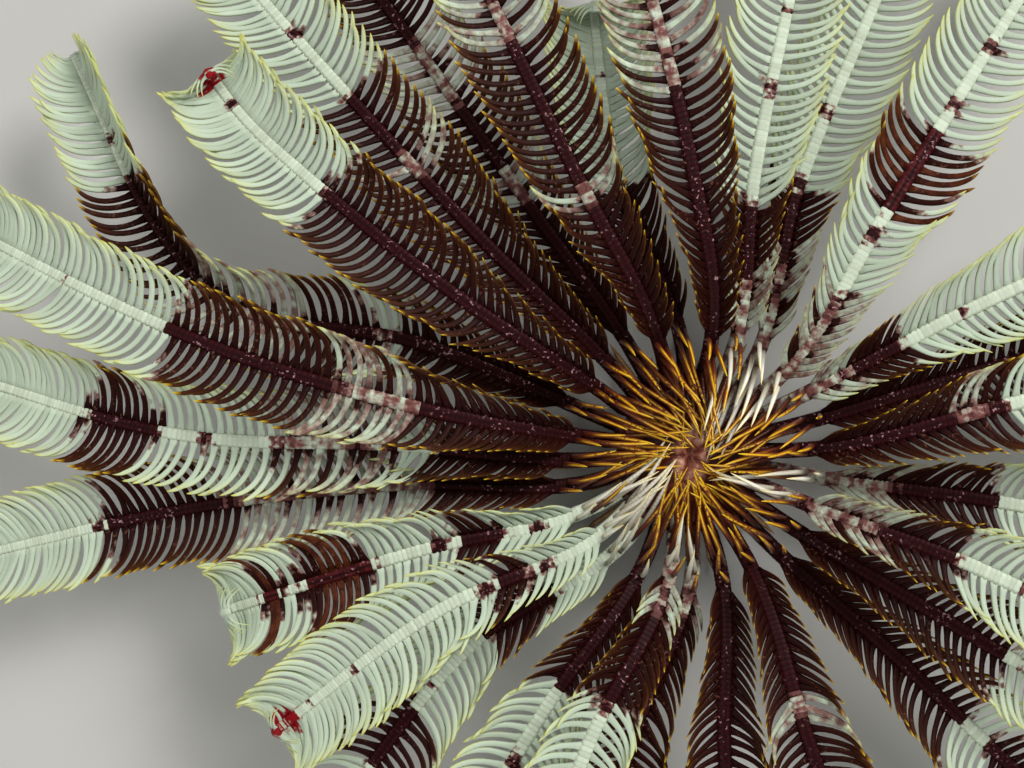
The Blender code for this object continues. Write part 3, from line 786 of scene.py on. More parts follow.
# A broad block with a shallow groove along its upper side, which is the trim.
BLOCK = Section(
    (
        (0.5, 0.02), (0.44, 0.32), (0.2, 0.5), (0.0, 0.36), (-0.2, 0.5),
        (-0.44, 0.32), (-0.5, 0.02), (-0.36, -0.38), (0.0, -0.52), (0.36, -0.38),
    ),
    (0.0, 0.0, 0.1, 1.0, 0.1, 0.0, 0.0, 0.0, 0.0, 0.0),
)


@dataclass(frozen=True)
class CurvedSpike:
    """A tapered piece that starts along X and bends in its own plane.

    Attributes:
        width: Its width across the plane's normal, at its thickest.
        depth: Its depth along the normal.
        bend: Degrees it turns towards -Y by its tip.
        lift: Degrees it turns towards +Z by its tip.
        profile: Its thickness at shares of its length.
        crowding: How much closer together the rings lie towards the tip.
        bend_power: How late along it most of its bend comes.
    """

    length: float
    width: float
    depth: float
    bend: float
    lift: float
    section: Section
    profile: Profile
    rings: int
    crowding: float = 1.4
    bend_power: float = 1.8

    def mesh(self, name: str) -> Mesh:
        """Returns it as a mesh."""
        last = self.rings - 1
        shares = [1 - (1 - k / last) ** self.crowding for k in range(self.rings)]
        place, rings = Vector((0, 0, 0)), []
        for k, share in enumerate(shares):
            yaw = -math.radians(self.bend) * share**self.bend_power
            rise = math.radians(self.lift) * share**self.bend_power
            level = math.cos(rise)
            ahead = Vector((math.cos(yaw) * level, math.sin(yaw) * level, math.sin(rise)))
            if k:
                place = place + ahead * self.length * (share - shares[k - 1])
            left = UP.cross(ahead).normalized()
            above = ahead.cross(left)
            thick = float(np.interp(share, *zip(*self.profile)))
            ring = [
                place + left * x * self.width * thick + above * y * self.depth * thick
                for x, y in self.section.points
            ]
            rings.append(ring)
        return tube_mesh(name, rings, shares, self.section.trim)


PINNULE_LENGTH = 8.9 * MM
SPINE_LENGTH = 13 * MM


def joint_mesh(name: str, section: Section, stations: Profile, wedge: float = 0.0) -> Mesh:
    """Returns one joint of a limb, of unit size along X.

    Args:
        name: The mesh's name.
        section: Its outline.
        stations: Places along X, with the outline's size there.
        wedge: How far its left side is longer than its right, as a share of its width.
    """
    rings = [
        [
            Vector((x * (1 + wedge * 2 * across), across * size, high * size))
            for across, high in section.points
        ]
        for x, size in stations
    ]
    first, last = stations[0][0], stations[-1][0]
    along = [(x - first) / (last - first) for x, _ in stations]
    return tube_mesh(name, rings, along, section.trim)


@dataclass(frozen=True)
class LimbKit:
    """The few shapes that every limb is set with, in a collection of their own.

    Attributes:
        pinnule: A feeding pinnule: a grooved, flattened filament that bends to the arm's tip.
        pinnule_turns: Degrees that each of the three on a side bends and lifts by its tip.
        blade: An inner pinnule, which narrows evenly to a point and is nearly straight.
        blade_share: How much of a pinnule's turns it has.
        spine: An oral pinnule: a stiff round spine.
        spine_turns: Degrees that each of the two bends and lifts by its tip.
        claw: The claw of a cirrus, of unit length.
        ossicle: Places along an ossicle of unit length, with its size there.
        wedge: How far it is longer on the side that bears its pinnule, as a share of its width.
        cirral: The same as ossicle for one joint of a cirrus, which flares at its far end.
    """

    pinnule: CurvedSpike = CurvedSpike(
        PINNULE_LENGTH,
        0.82 * MM,
        0.6 * MM,
        0.0,
        0.0,
        GROOVED,
        ((0, 1.6), (0.07, 1.25), (0.2, 1.0), (0.7, 0.96), (0.86, 0.74), (0.95, 0.44), (1, 0.1)),
        12,
    )
    pinnule_turns: Profile = ((38.0, 8.0), (58.0, 15.0), (80.0, 12.0))
    blade: CurvedSpike = replace(
        pinnule,
        profile=((0, 1.7), (0.1, 1.25), (0.35, 1.0), (0.75, 0.62), (0.93, 0.36), (1, 0.08)),
        rings=10,
    )
    blade_share: float = 0.3
    spine: CurvedSpike = CurvedSpike(
        SPINE_LENGTH,
        0.74 * MM,
        0.74 * MM,
        0.0,
        0.0,
        ROUND,
        ((0, 0.9), (0.12, 1.0), (0.6, 0.82), (0.88, 0.46), (1, 0.08)),
        10,
    )
    spine_turns: Profile = ((5.0, -9.0), (-7.0, -16.0))
    claw: CurvedSpike = CurvedSpike(
        1.0, 0.8, 0.8, 0.0, -55.0, ROUND, ((0, 1), (0.5, 0.8), (1, 0.06)), 8
    )
    ossicle: Profile = ((-0.56, 0.985), (-0.4, 1.0), (0.0, 1.01), (0.4, 1.02), (0.56, 1.0))
    wedge: float = 0.02
    cirral: Profile = ((-0.55, 0.86), (-0.3, 0.8), (0.25, 0.9), (0.48, 1.1), (0.57, 0.88))

    def build(self) -> Collection:
        kit = bpy.data.collections.new("limb_kit")
        meshes = [joint_mesh("ossicle", BLOCK, self.ossicle, hand * self.wedge) for hand in (1, -1)]
        rows = ((self.pinnule, 1.0), (self.blade, self.blade_share))
        for (spike, share), hand in product(rows, (1, -1)):
            for bend, lift in self.pinnule_turns:
                turned = replace(spike, bend=hand * bend * share, lift=lift * share)
                meshes.append(turned.mesh("pinnule"))
        for bend, lift in self.spine_turns:
            meshes.append(replace(self.spine, bend=bend, lift=lift).mesh("spine"))
        meshes += [joint_mesh("cirral", ROUND, self.cirral), self.claw.mesh("claw")]
        for shape, mesh in zip(Shape, meshes, strict=True):
            kit.objects.link(bpy.data.objects.new(f"kit_{shape.value:02d}", mesh))
        return kit

    def lag(self, kind: int, is_blade: bool) -> float:
        """Returns the degrees between a pinnule's root and a straight line to its tip."""
        bend = self.pinnule_turns[kind][0] * (self.blade_share if is_blade else 1.0)
        return bend / (1 + self.pinnule.bend_power)


KIT = LimbKit()


@dataclass
class Place:
    shape: Shape
    point: Vector
    turn: Quaternion
    size: Vector
    pale: float = 0.0
    seed: float = 0.0
    stain: float = 0.0
    blush: float = 0.0
    coat: int = 0
    cell: tuple[float, float, float, float] = (0.0, 0.0, 1.0, 1.0)


class PlacedSet:
    NUMBERS = ("pale", "seed", "stain", "blush")

    def __init__(self, kit: Collection, coats: int = 3) -> None:
        """Builds the tree.

        Args:
            kit: The collection of shapes.
            coats: How many materials a set can have.
        """
        self.kit = kit
        self.tree = bpy.data.node_groups.new("set_kit_on_points", "GeometryNodeTree")
        self.add_socket("Geometry", "Geometry", "OUTPUT")
        self.add_socket("Geometry", "Geometry")
        self.kit_input = self.add_socket("Kit", "Collection")
        self.size_input = self.add_socket("Size", "Float")
        self.coat_inputs = [self.add_socket(f"Coat {k}", "Material") for k in range(coats)]
        self.link_nodes()

    def add_socket(
        self, name: str, kind: str, side: str = "INPUT"
    ) -> bpy.types.NodeTreeInterfaceSocket:
        """Adds a socket of a kind to one side of the tree."""
        face = self.tree.interface
        return face.new_socket(name, in_out=side, socket_type="NodeSocket" + kind)

    def link_nodes(self) -> None:
        """Adds the tree's nodes."""
        tree = self.tree
        given = tree.nodes.new("NodeGroupInput").outputs
        kinds = {"shape": "INT", "coat": "INT", "turn": "QUATERNION", "size": "FLOAT_VECTOR"}
        reader = "GeometryNodeInputNamedAttribute"
        read = {
            name: add_node(tree, reader, {"data_type": kind}, {"Name": name}, "Attribute")
            for name, kind in kinds.items()
        }
        kit = add_node(
            tree,
            "GeometryNodeCollectionInfo",
            inputs={"Collection": given["Kit"], "Separate Children": True, "Reset Children": True},
        )
        scaled = {0: read["size"], "Scale": given["Size"]}
        size = add_node(tree, "ShaderNodeVectorMath", {"operation": "SCALE"}, scaled)
        placed = add_node(
            tree,
            "GeometryNodeInstanceOnPoints",
            inputs={
                "Points": given["Geometry"],
                "Instance": kit,
                "Pick Instance": True,
                "Instance Index": read["shape"],
                "Rotation": read["turn"],
                "Scale": size,
            },
        )
        last = add_node(tree, "GeometryNodeRealizeInstances", inputs={"Geometry": placed})
        is_equal = {"data_type": "INT", "operation": "EQUAL"}
        for k in range(len(self.coat_inputs)):
            chosen = add_node(tree, "FunctionNodeCompare", is_equal, {2: read["coat"], 3: k})
            dressed = {"Geometry": last, "Selection": chosen, "Material": given[f"Coat {k}"]}
            last = add_node(tree, "GeometryNodeSetMaterial", inputs=dressed)
        add_node(tree, "NodeGroupOutput", inputs={"Geometry": last})

    def points_object(self, name: str, places: Sequence[Place]) -> Object:
        """Returns an object whose points carry what the tree reads."""
        mesh = bpy.data.meshes.new(name)
        mesh.from_pydata([place.point for place in places], [], [])
        columns = {
            ("shape", "INT"): [place.shape.value for place in places],
            ("coat", "INT"): [place.coat for place in places],
            ("turn", "QUATERNION"): [component for place in places for component in place.turn],
        }
        for label in self.NUMBERS:
            columns[(label, "FLOAT")] = [getattr(place, label) for place in places]
        for (label, kind), values in columns.items():
            mesh.attributes.new(label, kind, "POINT").data.foreach_set("value", values)
        for label, rows in (
            ("size", [place.size for place in places]),
            ("cell", [(*place.cell[:2], 0) for place in places]),
            ("cell_size", [(*place.cell[2:], 0) for place in places]),
        ):
            flat = [component for row in rows for component in row]
            mesh.attributes.new(label, "FLOAT_VECTOR", "POINT").data.foreach_set("vector", flat)
        return bpy.data.objects.new(name, mesh)

    def build(self, name: str, places: Sequence[Place], coats: Sequence[Material]) -> Object:
        """Sets the pieces and returns them as one object in the scene.

        Args:
            name: The object's name.
            places: The pieces.
            coats: The materials that the places' coat numbers pick from.
        """
        points = self.points_object(name + "_points", places)
        bpy.context.scene.collection.objects.link(points)
        setter = points.modifiers.new("set", "NODES")
        setter.node_group = self.tree
        setter[self.kit_input.identifier] = self.kit
        setter[self.size_input.identifier] = 1.0
        for socket, coat in zip(self.coat_inputs, [*coats, *[coats[-1]] * len(self.coat_inputs)]):
            setter[socket.identifier] = coat
        graph = bpy.context.evaluated_depsgraph_get()
        mesh = bpy.data.meshes.new_from_object(points.evaluated_get(graph))
        points.modifiers.remove(setter)
        bpy.data.objects.remove(points)
        self.lay_patches(mesh)
        piece = bpy.data.objects.new(name, mesh)
        mesh.name = name
        bpy.context.scene.collection.objects.link(piece)
        return piece

    @staticmethod
    def lay_patches(mesh: Mesh) -> None:
        """Moves each piece's patch of the map to its own cell."""
        count = len(mesh.vertices)
        corner = np.empty(len(mesh.loops), dtype=np.int32)
        mesh.loops.foreach_get("vertex_index", corner)
        cells = {}
        for label in ("cell", "cell_size"):
            values = np.empty(count * 3, dtype=np.float32)
            mesh.attributes[label].data.foreach_get("vector", values)
            cells[label] = values.reshape(-1, 3)[corner, :2]
        patch = mesh.uv_layers["OFBake"].data
        places = np.empty(len(mesh.loops) * 2, dtype=np.float32)
        patch.foreach_get("uv", places)
        places = cells["cell"] + places.reshape(-1, 2) * cells["cell_size"]
        patch.foreach_set("uv", places.astype(np.float32).ravel())


@dataclass(frozen=True)
class PinnuleRule:
    """How the ossicles and pinnules stand along an arm.

    Attributes:
        ends: Where the first ossicle stands, and how far before the arm's end the last may.
        base_angle: Degrees between the arm and a line to a pinnule's tip, where they begin.
        spread_angle: The same where the arm is spread.
        fan_angle: The same shortly before the arm curls.
        curl_angle: The same on the curl, so that the arm's end looks square cut.
        small: The share of the full length at which a pinnule has its full width.
        narrowest: The width of the shortest, as a share of the full one.
        pitches: Spacing of the ossicles at distances back from the curl, all in mm.
        root_place: Where a root lies beside and below the axis, as shares of the arm's width.
        raised_from: Where a raised row begins to rise, and where it is fully raised.
        oral: Each oral pinnule's place along the arm, elevation and length, in mm and degrees.
        oral_root: Where a root lies beside and above the axis, as shares of the arm's width.
    """

    ends: Pair = (0.2 * MM, 0.15 * MM)
    start: float = 8.6 * MM
    blade_end: float = 31 * MM
    blade_jitter: Pair = (0.7, 1.0)
    base_angle: float = 35.0
    spread_angle: float = 62.0
    fan_angle: float = 52.0
    curl_angle: float = 76.0
    angle_jitter: float = 1.5
    sweep_jitter: float = 0.3
    spread_length: float = 44 * MM
    fan_length: float = 11 * MM
    curl_reach: float = 4 * MM
    short: float = 5.0 * MM
    long: float = 8.9 * MM
    length_jitter: Pair = (0.95, 1.05)
    small: float = 0.6
    narrowest: float = 0.55
    fan_thickness: float = 0.55
    growth_length: float = 46 * MM
    taper_length: float = 7 * MM
    tip_share: float = 0.22
    flat_fold: float = 15.0
    steep_fold: float = 50.0
    fold_length: float = 40 * MM
    curl_fold_share: float = 0.4
    most_fold: float = 88.0
    fold_step: float = 6.0
    even_rounds: int = 2
    near_pinnules: tuple[int, ...] = (-4, -2, 0, 2, 4)
    gap: float = 0.25 * MM
    pitches: Profile = ((0, 0.28), (5, 0.36), (12, 0.52), (28, 0.7), (50, 0.74), (85, 0.62))
    ossicle_jitter: Pair = (0.985, 1.015)
    root_place: Pair = (0.36, 0.08)
    raised_from: Pair = (40 * MM, 62 * MM)
    oral: tuple[Triple, ...] = (
        (0.6, 20.0, 9.8), (1.6, 24.0, 11.9), (2.6, 29.0, 12.2), (3.6, 35.0, 11.8),
        (4.6, 42.0, 11.2), (5.7, 50.0, 10.2), (6.8, 60.0, 8.6), (7.9, 72.0, 6.8),
    )
    oral_swirl: float = 7.0
    oral_root: Pair = (0.24, 0.15)
    oral_jitter: Pair = (5.0, 4.0)
    oral_size: Pair = (0.86, 1.08)


PINNULES = PinnuleRule()


@dataclass(frozen=True)
class MarkingRule:
    """How stains, mottling and the ends of the bands fall along an arm.

    Attributes:
        spacing: How far apart its stains lie.
        large_share: The share of them that spread up one side's pinnules.
        large: How strong a large stain is on each ossicle that it covers.
        small: The same for a small one.
        pinnule_share: How much of a small stain reaches the pinnules.
        jitter: How far, in mm, a band's end wanders on the ossicles and on the pinnules.
        meeting: How near to a band's end the pinnules' roots are stained.
        meeting_stain: How strong those stains can be.
        edge_stain: The same for the pale ossicles there.
        overrun: How far, in mm, pale pinnules run on into a dark band, and the most of its length.
        overrun_stain: How far up those pinnules are dark, at the band's end and farther in.
        mottled_axis: How pale the ossicles of mottled stretches are, least and most.
        mottled_pinnule: The same for their pinnules.
        mottled_dark: The share of their pinnules that are dark.
        blush_length: How far the red of a growing tip takes to reach its full strength.
        blush_strength: How strong it is then on each piece.
    """

    first: Pair = (6 * MM, 24 * MM)
    spacing: Pair = (7 * MM, 22 * MM)
    large_share: float = 0.5
    large: tuple[float, ...] = (0.2, 0.34, 0.44, 0.32, 0.16)
    small: tuple[float, ...] = (0.3, 0.2)
    pinnule_share: float = 0.25
    jitter: Pair = (0.4, 0.8)
    meeting: float = 1.4 * MM
    meeting_stain: float = 0.62
    edge_stain: float = 0.5
    overrun: Pair = (0.6, 4.5)
    overrun_share: float = 0.3
    overrun_stain: Pair = (0.5, 1.2)
    mottled_axis: Pair = (0.45, 0.75)
    mottled_pinnule: Pair = (0.55, 0.94)
    mottled_dark: float = 0.08
    clean_end: float = 3 * MM
    blush_length: float = 2.0 * MM
    blush_strength: Pair = (0.45, 1.0)
    oral: Pair = (0.1, 0.45)


MARKINGS = MarkingRule()


@dataclass(frozen=True)
class PatchRow:
    """A row of cells of the patch map, one for each piece along an arm.

    Attributes:
        low: Where the row begins, up the map.
        tall: How tall it is there.
        pitch: How far apart its cells lie, as a share of an ossicle's width on the map.
        wide: How wide they are, as a share of it.
    """

    low: float
    tall: float
    pitch: float = 1.0
    wide: float = 1.0

    def cell(self, number: int, width: float) -> tuple[float, float, float, float]:
        """Returns one cell's corner and size, from its number and an ossicle's width."""
        return number * width * self.pitch, self.low, width * self.wide, self.tall


AXIS_ROW = PatchRow(0.44, 0.12)
PINNULE_ROWS = {1: PatchRow(0.58, 0.42, wide=1.9), -1: PatchRow(0.0, 0.42, wide=1.9)}
SPINE_ROW = PatchRow(0.58, 0.4, pitch=1.2)


class Clearance:
    """Tells whether a pinnule would meet another arm or its pinnules, all taken as balls."""

    ARM_SHARE = 0.6
    PITCH = 1.1 * MM
    THICKNESS = 0.34 * MM
    NARROWING = 0.7

    def __init__(self, arms: Sequence[ArmCourse]) -> None:
        """Notes the arms' own axes."""
        self.balls: list[tuple[Vector, float, ArmCourse]] = []
        for arm in arms:
            for k in range(0, len(arm.points), 2):
                self.balls.append((arm.points[k], arm.width(k * RULE.step) * self.ARM_SHARE, arm))

    def freeze(self) -> None:
        """Readies what has been noted for searching."""
        self.tree = KDTree(len(self.balls))
        for k, ball in enumerate(self.balls):
            self.tree.insert(ball[0], k)
        self.tree.balance()

    def add(self, arm: ArmCourse, root: Vector, direction: Vector, length: float) -> None:
        """Notes a pinnule that has found its place."""
        self.balls += [(*ball, arm) for ball in self.along(root, direction, length)]

    def along(
        self, root: Vector, direction: Vector, length: float
    ) -> Iterator[tuple[Vector, float]]:
        """Yields points along a pinnule with its thickness there."""
        count = max(3, round(length / self.PITCH))
        for k in range(1, count + 1):
            thickness = self.THICKNESS * (1 - self.NARROWING * k / count)
            yield root + direction * length * (k / count), thickness

    def is_free(self, arm: ArmCourse, root: Vector, direction: Vector, length: float) -> bool:
        """Returns whether a pinnule would keep clear of every other arm."""
        reach = self.ARM_SHARE * RULE.width + PINNULES.gap
        for point, radius in self.along(root, direction, length):
            for _, k, distance in self.tree.find_range(point, radius + reach):
                _, other, owner = self.balls[k]
                if owner is not arm and distance < radius + other + PINNULES.gap:
                    return False
        return True


class FeatherArm:
    """One arm: its ossicles, feeding pinnules and oral pinnules, all one piece."""

    def __init__(self, course: ArmCourse, rng: random.Random) -> None:
        """Works out where its ossicles stand.

        Args:
            course: The arm's course.
            rng: Where its small irregularities come from.
        """
        self.course = course
        self.rng = rng
        self.stations: list[float] = []
        s, before_end = PINNULES.ends
        while s < course.length - before_end:
            self.stations.append(s)
            back = (course.curl_start - s) / MM
            s += float(np.interp(back, *zip(*PINNULES.pitches))) * MM
        self.cell_width = 1.0 / len(self.stations)
        self.folds: dict[int, float] = {}
        self.overruns = {hand: rng.uniform(*MARKINGS.overrun) for hand in (1, -1)}

    def fan_share(self, s: float) -> float:
        """Returns how far a place along the arm belongs to its square-cut end, 0 to 1."""
        return smooth((s - self.course.curl_start + PINNULES.fan_length) / PINNULES.fan_length)

    def pinnule_length(self, s: float) -> float:
        """Returns the length of a feeding pinnule at a length along the arm."""
        grown = blend(PINNULES.short, PINNULES.long, smooth(s / PINNULES.growth_length))
        taper = max(PINNULES.taper_length, self.course.length - self.course.curl_start)
        return grown * blend(PINNULES.tip_share, 1.0, smooth((self.course.length - s) / taper))

    def angle(self, s: float) -> float:
        """Returns the degrees between the arm and a straight line to a pinnule's tip."""
        spread = smooth(s / PINNULES.spread_length)
        spread = blend(PINNULES.base_angle, PINNULES.spread_angle, spread)
        fanned = blend(spread, PINNULES.fan_angle, self.fan_share(s))
        curled = smooth((s - self.course.curl_start) / PINNULES.curl_reach + 0.5)
        return blend(fanned, PINNULES.curl_angle, curled)

    def first_fold(self, s: float, hand: int) -> float:
        """Returns the degrees that a pinnule is raised where no neighbour asks for more.

        Args:
            s: Length along the arm.
            hand: 1 on the left, -1 on the right.
        """
        share = smooth(s / PINNULES.fold_length)
        fold = blend(PINNULES.steep_fold, PINNULES.flat_fold, share)
        if hand < 0:
            start, end = PINNULES.raised_from
            fold += self.course.plan.raised * smooth((s - start) / (end - start))
        return fold * (PINNULES.curl_fold_share if s > self.course.curl_start else 1.0)

    def axes(self, s: float, hand: int, fold: float, angle: float) -> tuple[Vector, Vector, Vector]:
        """Returns a pinnule's root, direction and the way its groove faces.

        Args:
            s: Length along the arm.
            hand: 1 on the left, -1 on the right.
            fold: Degrees that it is raised above the arm.
            angle: Degrees between it and the arm.
        """
        point, along, side, up = self.course.at(s)
        out, lift, lean = side * hand, math.radians(fold), math.radians(angle)
        raised = out * math.cos(lift) + up * math.sin(lift)
        facing = up * math.cos(lift) - out * math.sin(lift)
        direction = raised * math.sin(lean) + along * math.cos(lean)
        beside, below = PINNULES.root_place
        root = point + (raised * beside - facing * below) * self.course.width(s)
        return root, direction, facing

    def hand(self, number: int) -> int:
        """Returns the side on which an ossicle bears its pinnule."""
        return 1 if number % 2 else -1

    def find_folds(self, clearance: Clearance) -> None:
        """Finds how far each feeding pinnule is raised so that it clears the other arms."""
        for number, s in enumerate(self.stations):
            if s < PINNULES.start:
                continue
            length, fold = self.pinnule_length(s), self.first_fold(s, self.hand(number))
            while fold < PINNULES.most_fold - PINNULES.fold_step:
                root, direction, _ = self.axes(s, self.hand(number), fold, self.angle(s))
                if clearance.is_free(self.course, root, direction, length):
                    break
                fold += PINNULES.fold_step
            self.folds[number] = fold
        self.even_folds()
        for number, fold in self.folds.items():
            s = self.stations[number]
            root, direction, _ = self.axes(s, self.hand(number), fold, self.angle(s))
            clearance.add(self.course, root, direction, self.pinnule_length(s))

    def even_folds(self) -> None:
        """Evens the folds along each row, so that the pinnules keep in line like a comb."""
        for _ in range(PINNULES.even_rounds):
            old = dict(self.folds)
            for number in old:
                near = [old.get(number + step, old[number]) for step in PINNULES.near_pinnules]
                self.folds[number] = sum(near) / len(near)

    def tone(self, s: float, spread: float) -> Tone:
        """Returns how the arm is coloured at a length along it.

        Args:
            s: The length along the arm.
            spread: How far, in mm, the bands' ends may wander.
        """
        distance = self.course.radius(s) + self.rng.uniform(-spread, spread)
        return next(tone for ends, tone in self.course.bands if distance < ends)

    def is_near_end(self, s: float) -> bool:
        """Returns whether a length along the arm is near a band's end."""
        return self.tone(s - MARKINGS.meeting, 0) is not self.tone(s + MARKINGS.meeting, 0)

    def overrun(self, s: float, hand: int) -> float | None:
        """Returns how far into a dark band a pinnule stands, where pale ones run on into it.

        Args:
            s: The length along the arm at which it stands.
            hand: 1 on the left, -1 on the right.

        Returns:
            A share from 0 at the band's end to 1 where they stop, or None beyond that.
        """
        distance, start, before = self.course.radius(s), 0.0, Tone.DARK
        bands = self.course.bands
        for number, (ends, tone) in enumerate(bands):
            if distance < ends:
                break
            start, before = ends, tone
        after = bands[number + 1][1] if number + 1 < len(bands) else Tone.DARK
        gaps = [distance - start] if before is Tone.PALE else []
        gaps += [ends - distance] if after is Tone.PALE else []
        reach = min(self.overruns[hand], MARKINGS.overrun_share * (ends - start))
        if tone not in (Tone.DARK, Tone.RUSTY) or min(gaps, default=END) >= reach:
            return None
        return min(gaps) / reach

    def pinnule_tone(self, s: float, stain: float, hand: int) -> Pair:
        """Returns how pale and how stained a pinnule is, blotchy where two tones meet.

        Args:
            s: The length along the arm at which it stands.
            stain: How stained it is otherwise.
            hand: 1 on the left, -1 on the right.
        """
        overrun = self.overrun(s, hand)
        if overrun is not None:
            return 1.0, blend(*MARKINGS.overrun_stain, overrun)
        tone = self.tone(s, MARKINGS.jitter[1])
        if tone is Tone.MOTTLED:
            is_dark = self.rng.random() < MARKINGS.mottled_dark
            pale = 0.0 if is_dark else self.rng.uniform(*MARKINGS.mottled_pinnule)
            return pale, self.rng.uniform(0.0, MARKINGS.meeting_stain)
        if self.is_near_end(s):
            stain = max(stain, self.rng.uniform(0.0, MARKINGS.meeting_stain))
        return tone.value, stain

    def blush(self, s: float) -> float:
        """Returns how red the growing tip is."""
        reach = self.course.plan.blush * MM
        if not reach:
            return 0.0
        reddened = (s - self.course.curl_start + reach) / MARKINGS.blush_length
        return smooth(reddened) * self.rng.uniform(*MARKINGS.blush_strength)

    def stain_steps(self) -> list[tuple[float, int]]:
        """Returns, for each ossicle, how stained it is and the side that the stain spreads to.

        Small maroon stains lie a few millimetres apart along the pale stretches, and some of them
        spread over the next ossicles and up one side's pinnules.
        """
        steps = [(0.0, 0)] * len(self.stations)
        next_stain = self.rng.uniform(*MARKINGS.first)
        for number, s in enumerate(self.stations):
            if s < next_stain or s > self.course.curl_start - MARKINGS.clean_end:
                continue
            next_stain = s + self.rng.uniform(*MARKINGS.spacing)
            large = self.rng.random() < MARKINGS.large_share
            side = self.rng.choice((-1, 1))
            strengths = MARKINGS.large if large else MARKINGS.small
            for k, strength in enumerate(strengths):
                if number + k < len(steps):
                    steps[number + k] = (strength, side if large else 0)
        return steps

    def places(self) -> Iterator[Place]:
        """Yields every piece of the arm."""
        for number, (stain, side) in enumerate(self.stain_steps()):
            s = self.stations[number]
            tone = self.tone(s, MARKINGS.jitter[0])
            pale = tone.value
            if tone is Tone.MOTTLED:
                pale = self.rng.uniform(*MARKINGS.mottled_axis)
            seed = self.rng.random()
            edge = self.rng.uniform(0.0, MARKINGS.edge_stain) if self.is_near_end(s) else 0.0
            yield self.ossicle(number, pale, max(stain, edge), seed)
            if number in self.folds:
                spread = stain * (1.0 if side == self.hand(number) else MARKINGS.pinnule_share)
                pale, spread = self.pinnule_tone(s, spread, self.hand(number))
                yield self.pinnule(number, pale, spread, seed)
        for number in range(len(PINNULES.oral)):
            yield self.oral_spine(number)

    def ossicle(self, number: int, pale: float, stain: float, seed: float) -> Place:
        """Returns one ossicle of the arm.

        Args:
            number: Its number from the base.
            pale: How pale it is.
            stain: How stained it is.
            seed: Its own random number.
        """
        s = self.stations[number]
        point, along, _, up = self.course.at(s)
        after = self.stations[min(number + 1, len(self.stations) - 1)]
        pitch = max(after - s, PINNULES.pitches[0][1] * MM)
        wide, jitter = self.course.width(s), self.rng.uniform(*PINNULES.ossicle_jitter)
        return Place(
            Shape.OSSICLE_LEFT if self.hand(number) > 0 else Shape.OSSICLE_RIGHT,
            point,
            turn_of(along, up),
            Vector((pitch, wide * jitter, wide * RULE.depth_share)),
            pale,
            seed,
            stain,
            self.blush(s),
            0,
            AXIS_ROW.cell(number, self.cell_width),
        )

    def pinnule(self, number: int, pale: float, stain: float, seed: float) -> Place:
        """Returns one feeding pinnule; its arguments are those of ossicle."""
        s, hand = self.stations[number], self.hand(number)
        is_blade = s < PINNULES.blade_end * self.rng.uniform(*PINNULES.blade_jitter)
        if is_blade:
            first = Shape.BLADE_LEFT_A if hand > 0 else Shape.BLADE_RIGHT_A
        else:
            first = Shape.PINNULE_LEFT_A if hand > 0 else Shape.PINNULE_RIGHT_A
        kind = 2 * self.course.plan.sweep + self.rng.gauss(0, PINNULES.sweep_jitter)
        kind = round(min(2.0, max(0.0, kind)))
        fold = self.folds[number] + self.rng.gauss(0, PINNULES.angle_jitter)
        angle = self.angle(s) + KIT.lag(kind, is_blade)
        angle += self.rng.gauss(0, PINNULES.angle_jitter)
        root, direction, facing = self.axes(s, hand, fold, angle)
        size = self.pinnule_length(s) / PINNULE_LENGTH * self.rng.uniform(*PINNULES.length_jitter)
        wide = blend(PINNULES.narrowest, 1.0, smooth(size / PINNULES.small))
        thick = wide * blend(1.0, PINNULES.fan_thickness, self.fan_share(s))
        return Place(
            Shape(first.value + kind),
            root,
            turn_of(direction, facing),
            Vector((size, wide, thick)),
            pale,
            seed,
            stain,
            self.blush(s),
            1,
            PINNULE_ROWS[hand].cell(number, self.cell_width),
        )

    def oral_spine(self, number: int) -> Place:
        """Returns one of the stiff spines that close over the mouth, by its number from the base."""
        along_mm, elevation, length_mm = PINNULES.oral[number]
        s = along_mm * MM
        point, _, side, up = self.course.at(s)
        beside, above = (share * self.course.width(s) for share in PINNULES.oral_root)
        root = point + side * self.hand(number) * beside + up * above
        inward = CENTRE - root
        heading = math.degrees(math.atan2(inward.y, inward.x)) + PINNULES.oral_swirl
        turned, tilted = (self.rng.gauss(0, jitter) for jitter in PINNULES.oral_jitter)
        direction = compass(heading + turned, elevation + tilted)
        size = length_mm * MM / SPINE_LENGTH * self.rng.uniform(*PINNULES.oral_size)
        white = self.rng.random() < self.course.plan.white_spines
        return Place(
            Shape.SPINE_A if self.rng.random() < 0.5 else Shape.SPINE_B,
            root,
            turn_of(direction, UP),
            Vector((size, 1, 1)),
            1.0 if white else 0.0,
            self.rng.random(),
            self.rng.uniform(*MARKINGS.oral),
            0.0,
            2,
            SPINE_ROW.cell(number, self.cell_width),
        )


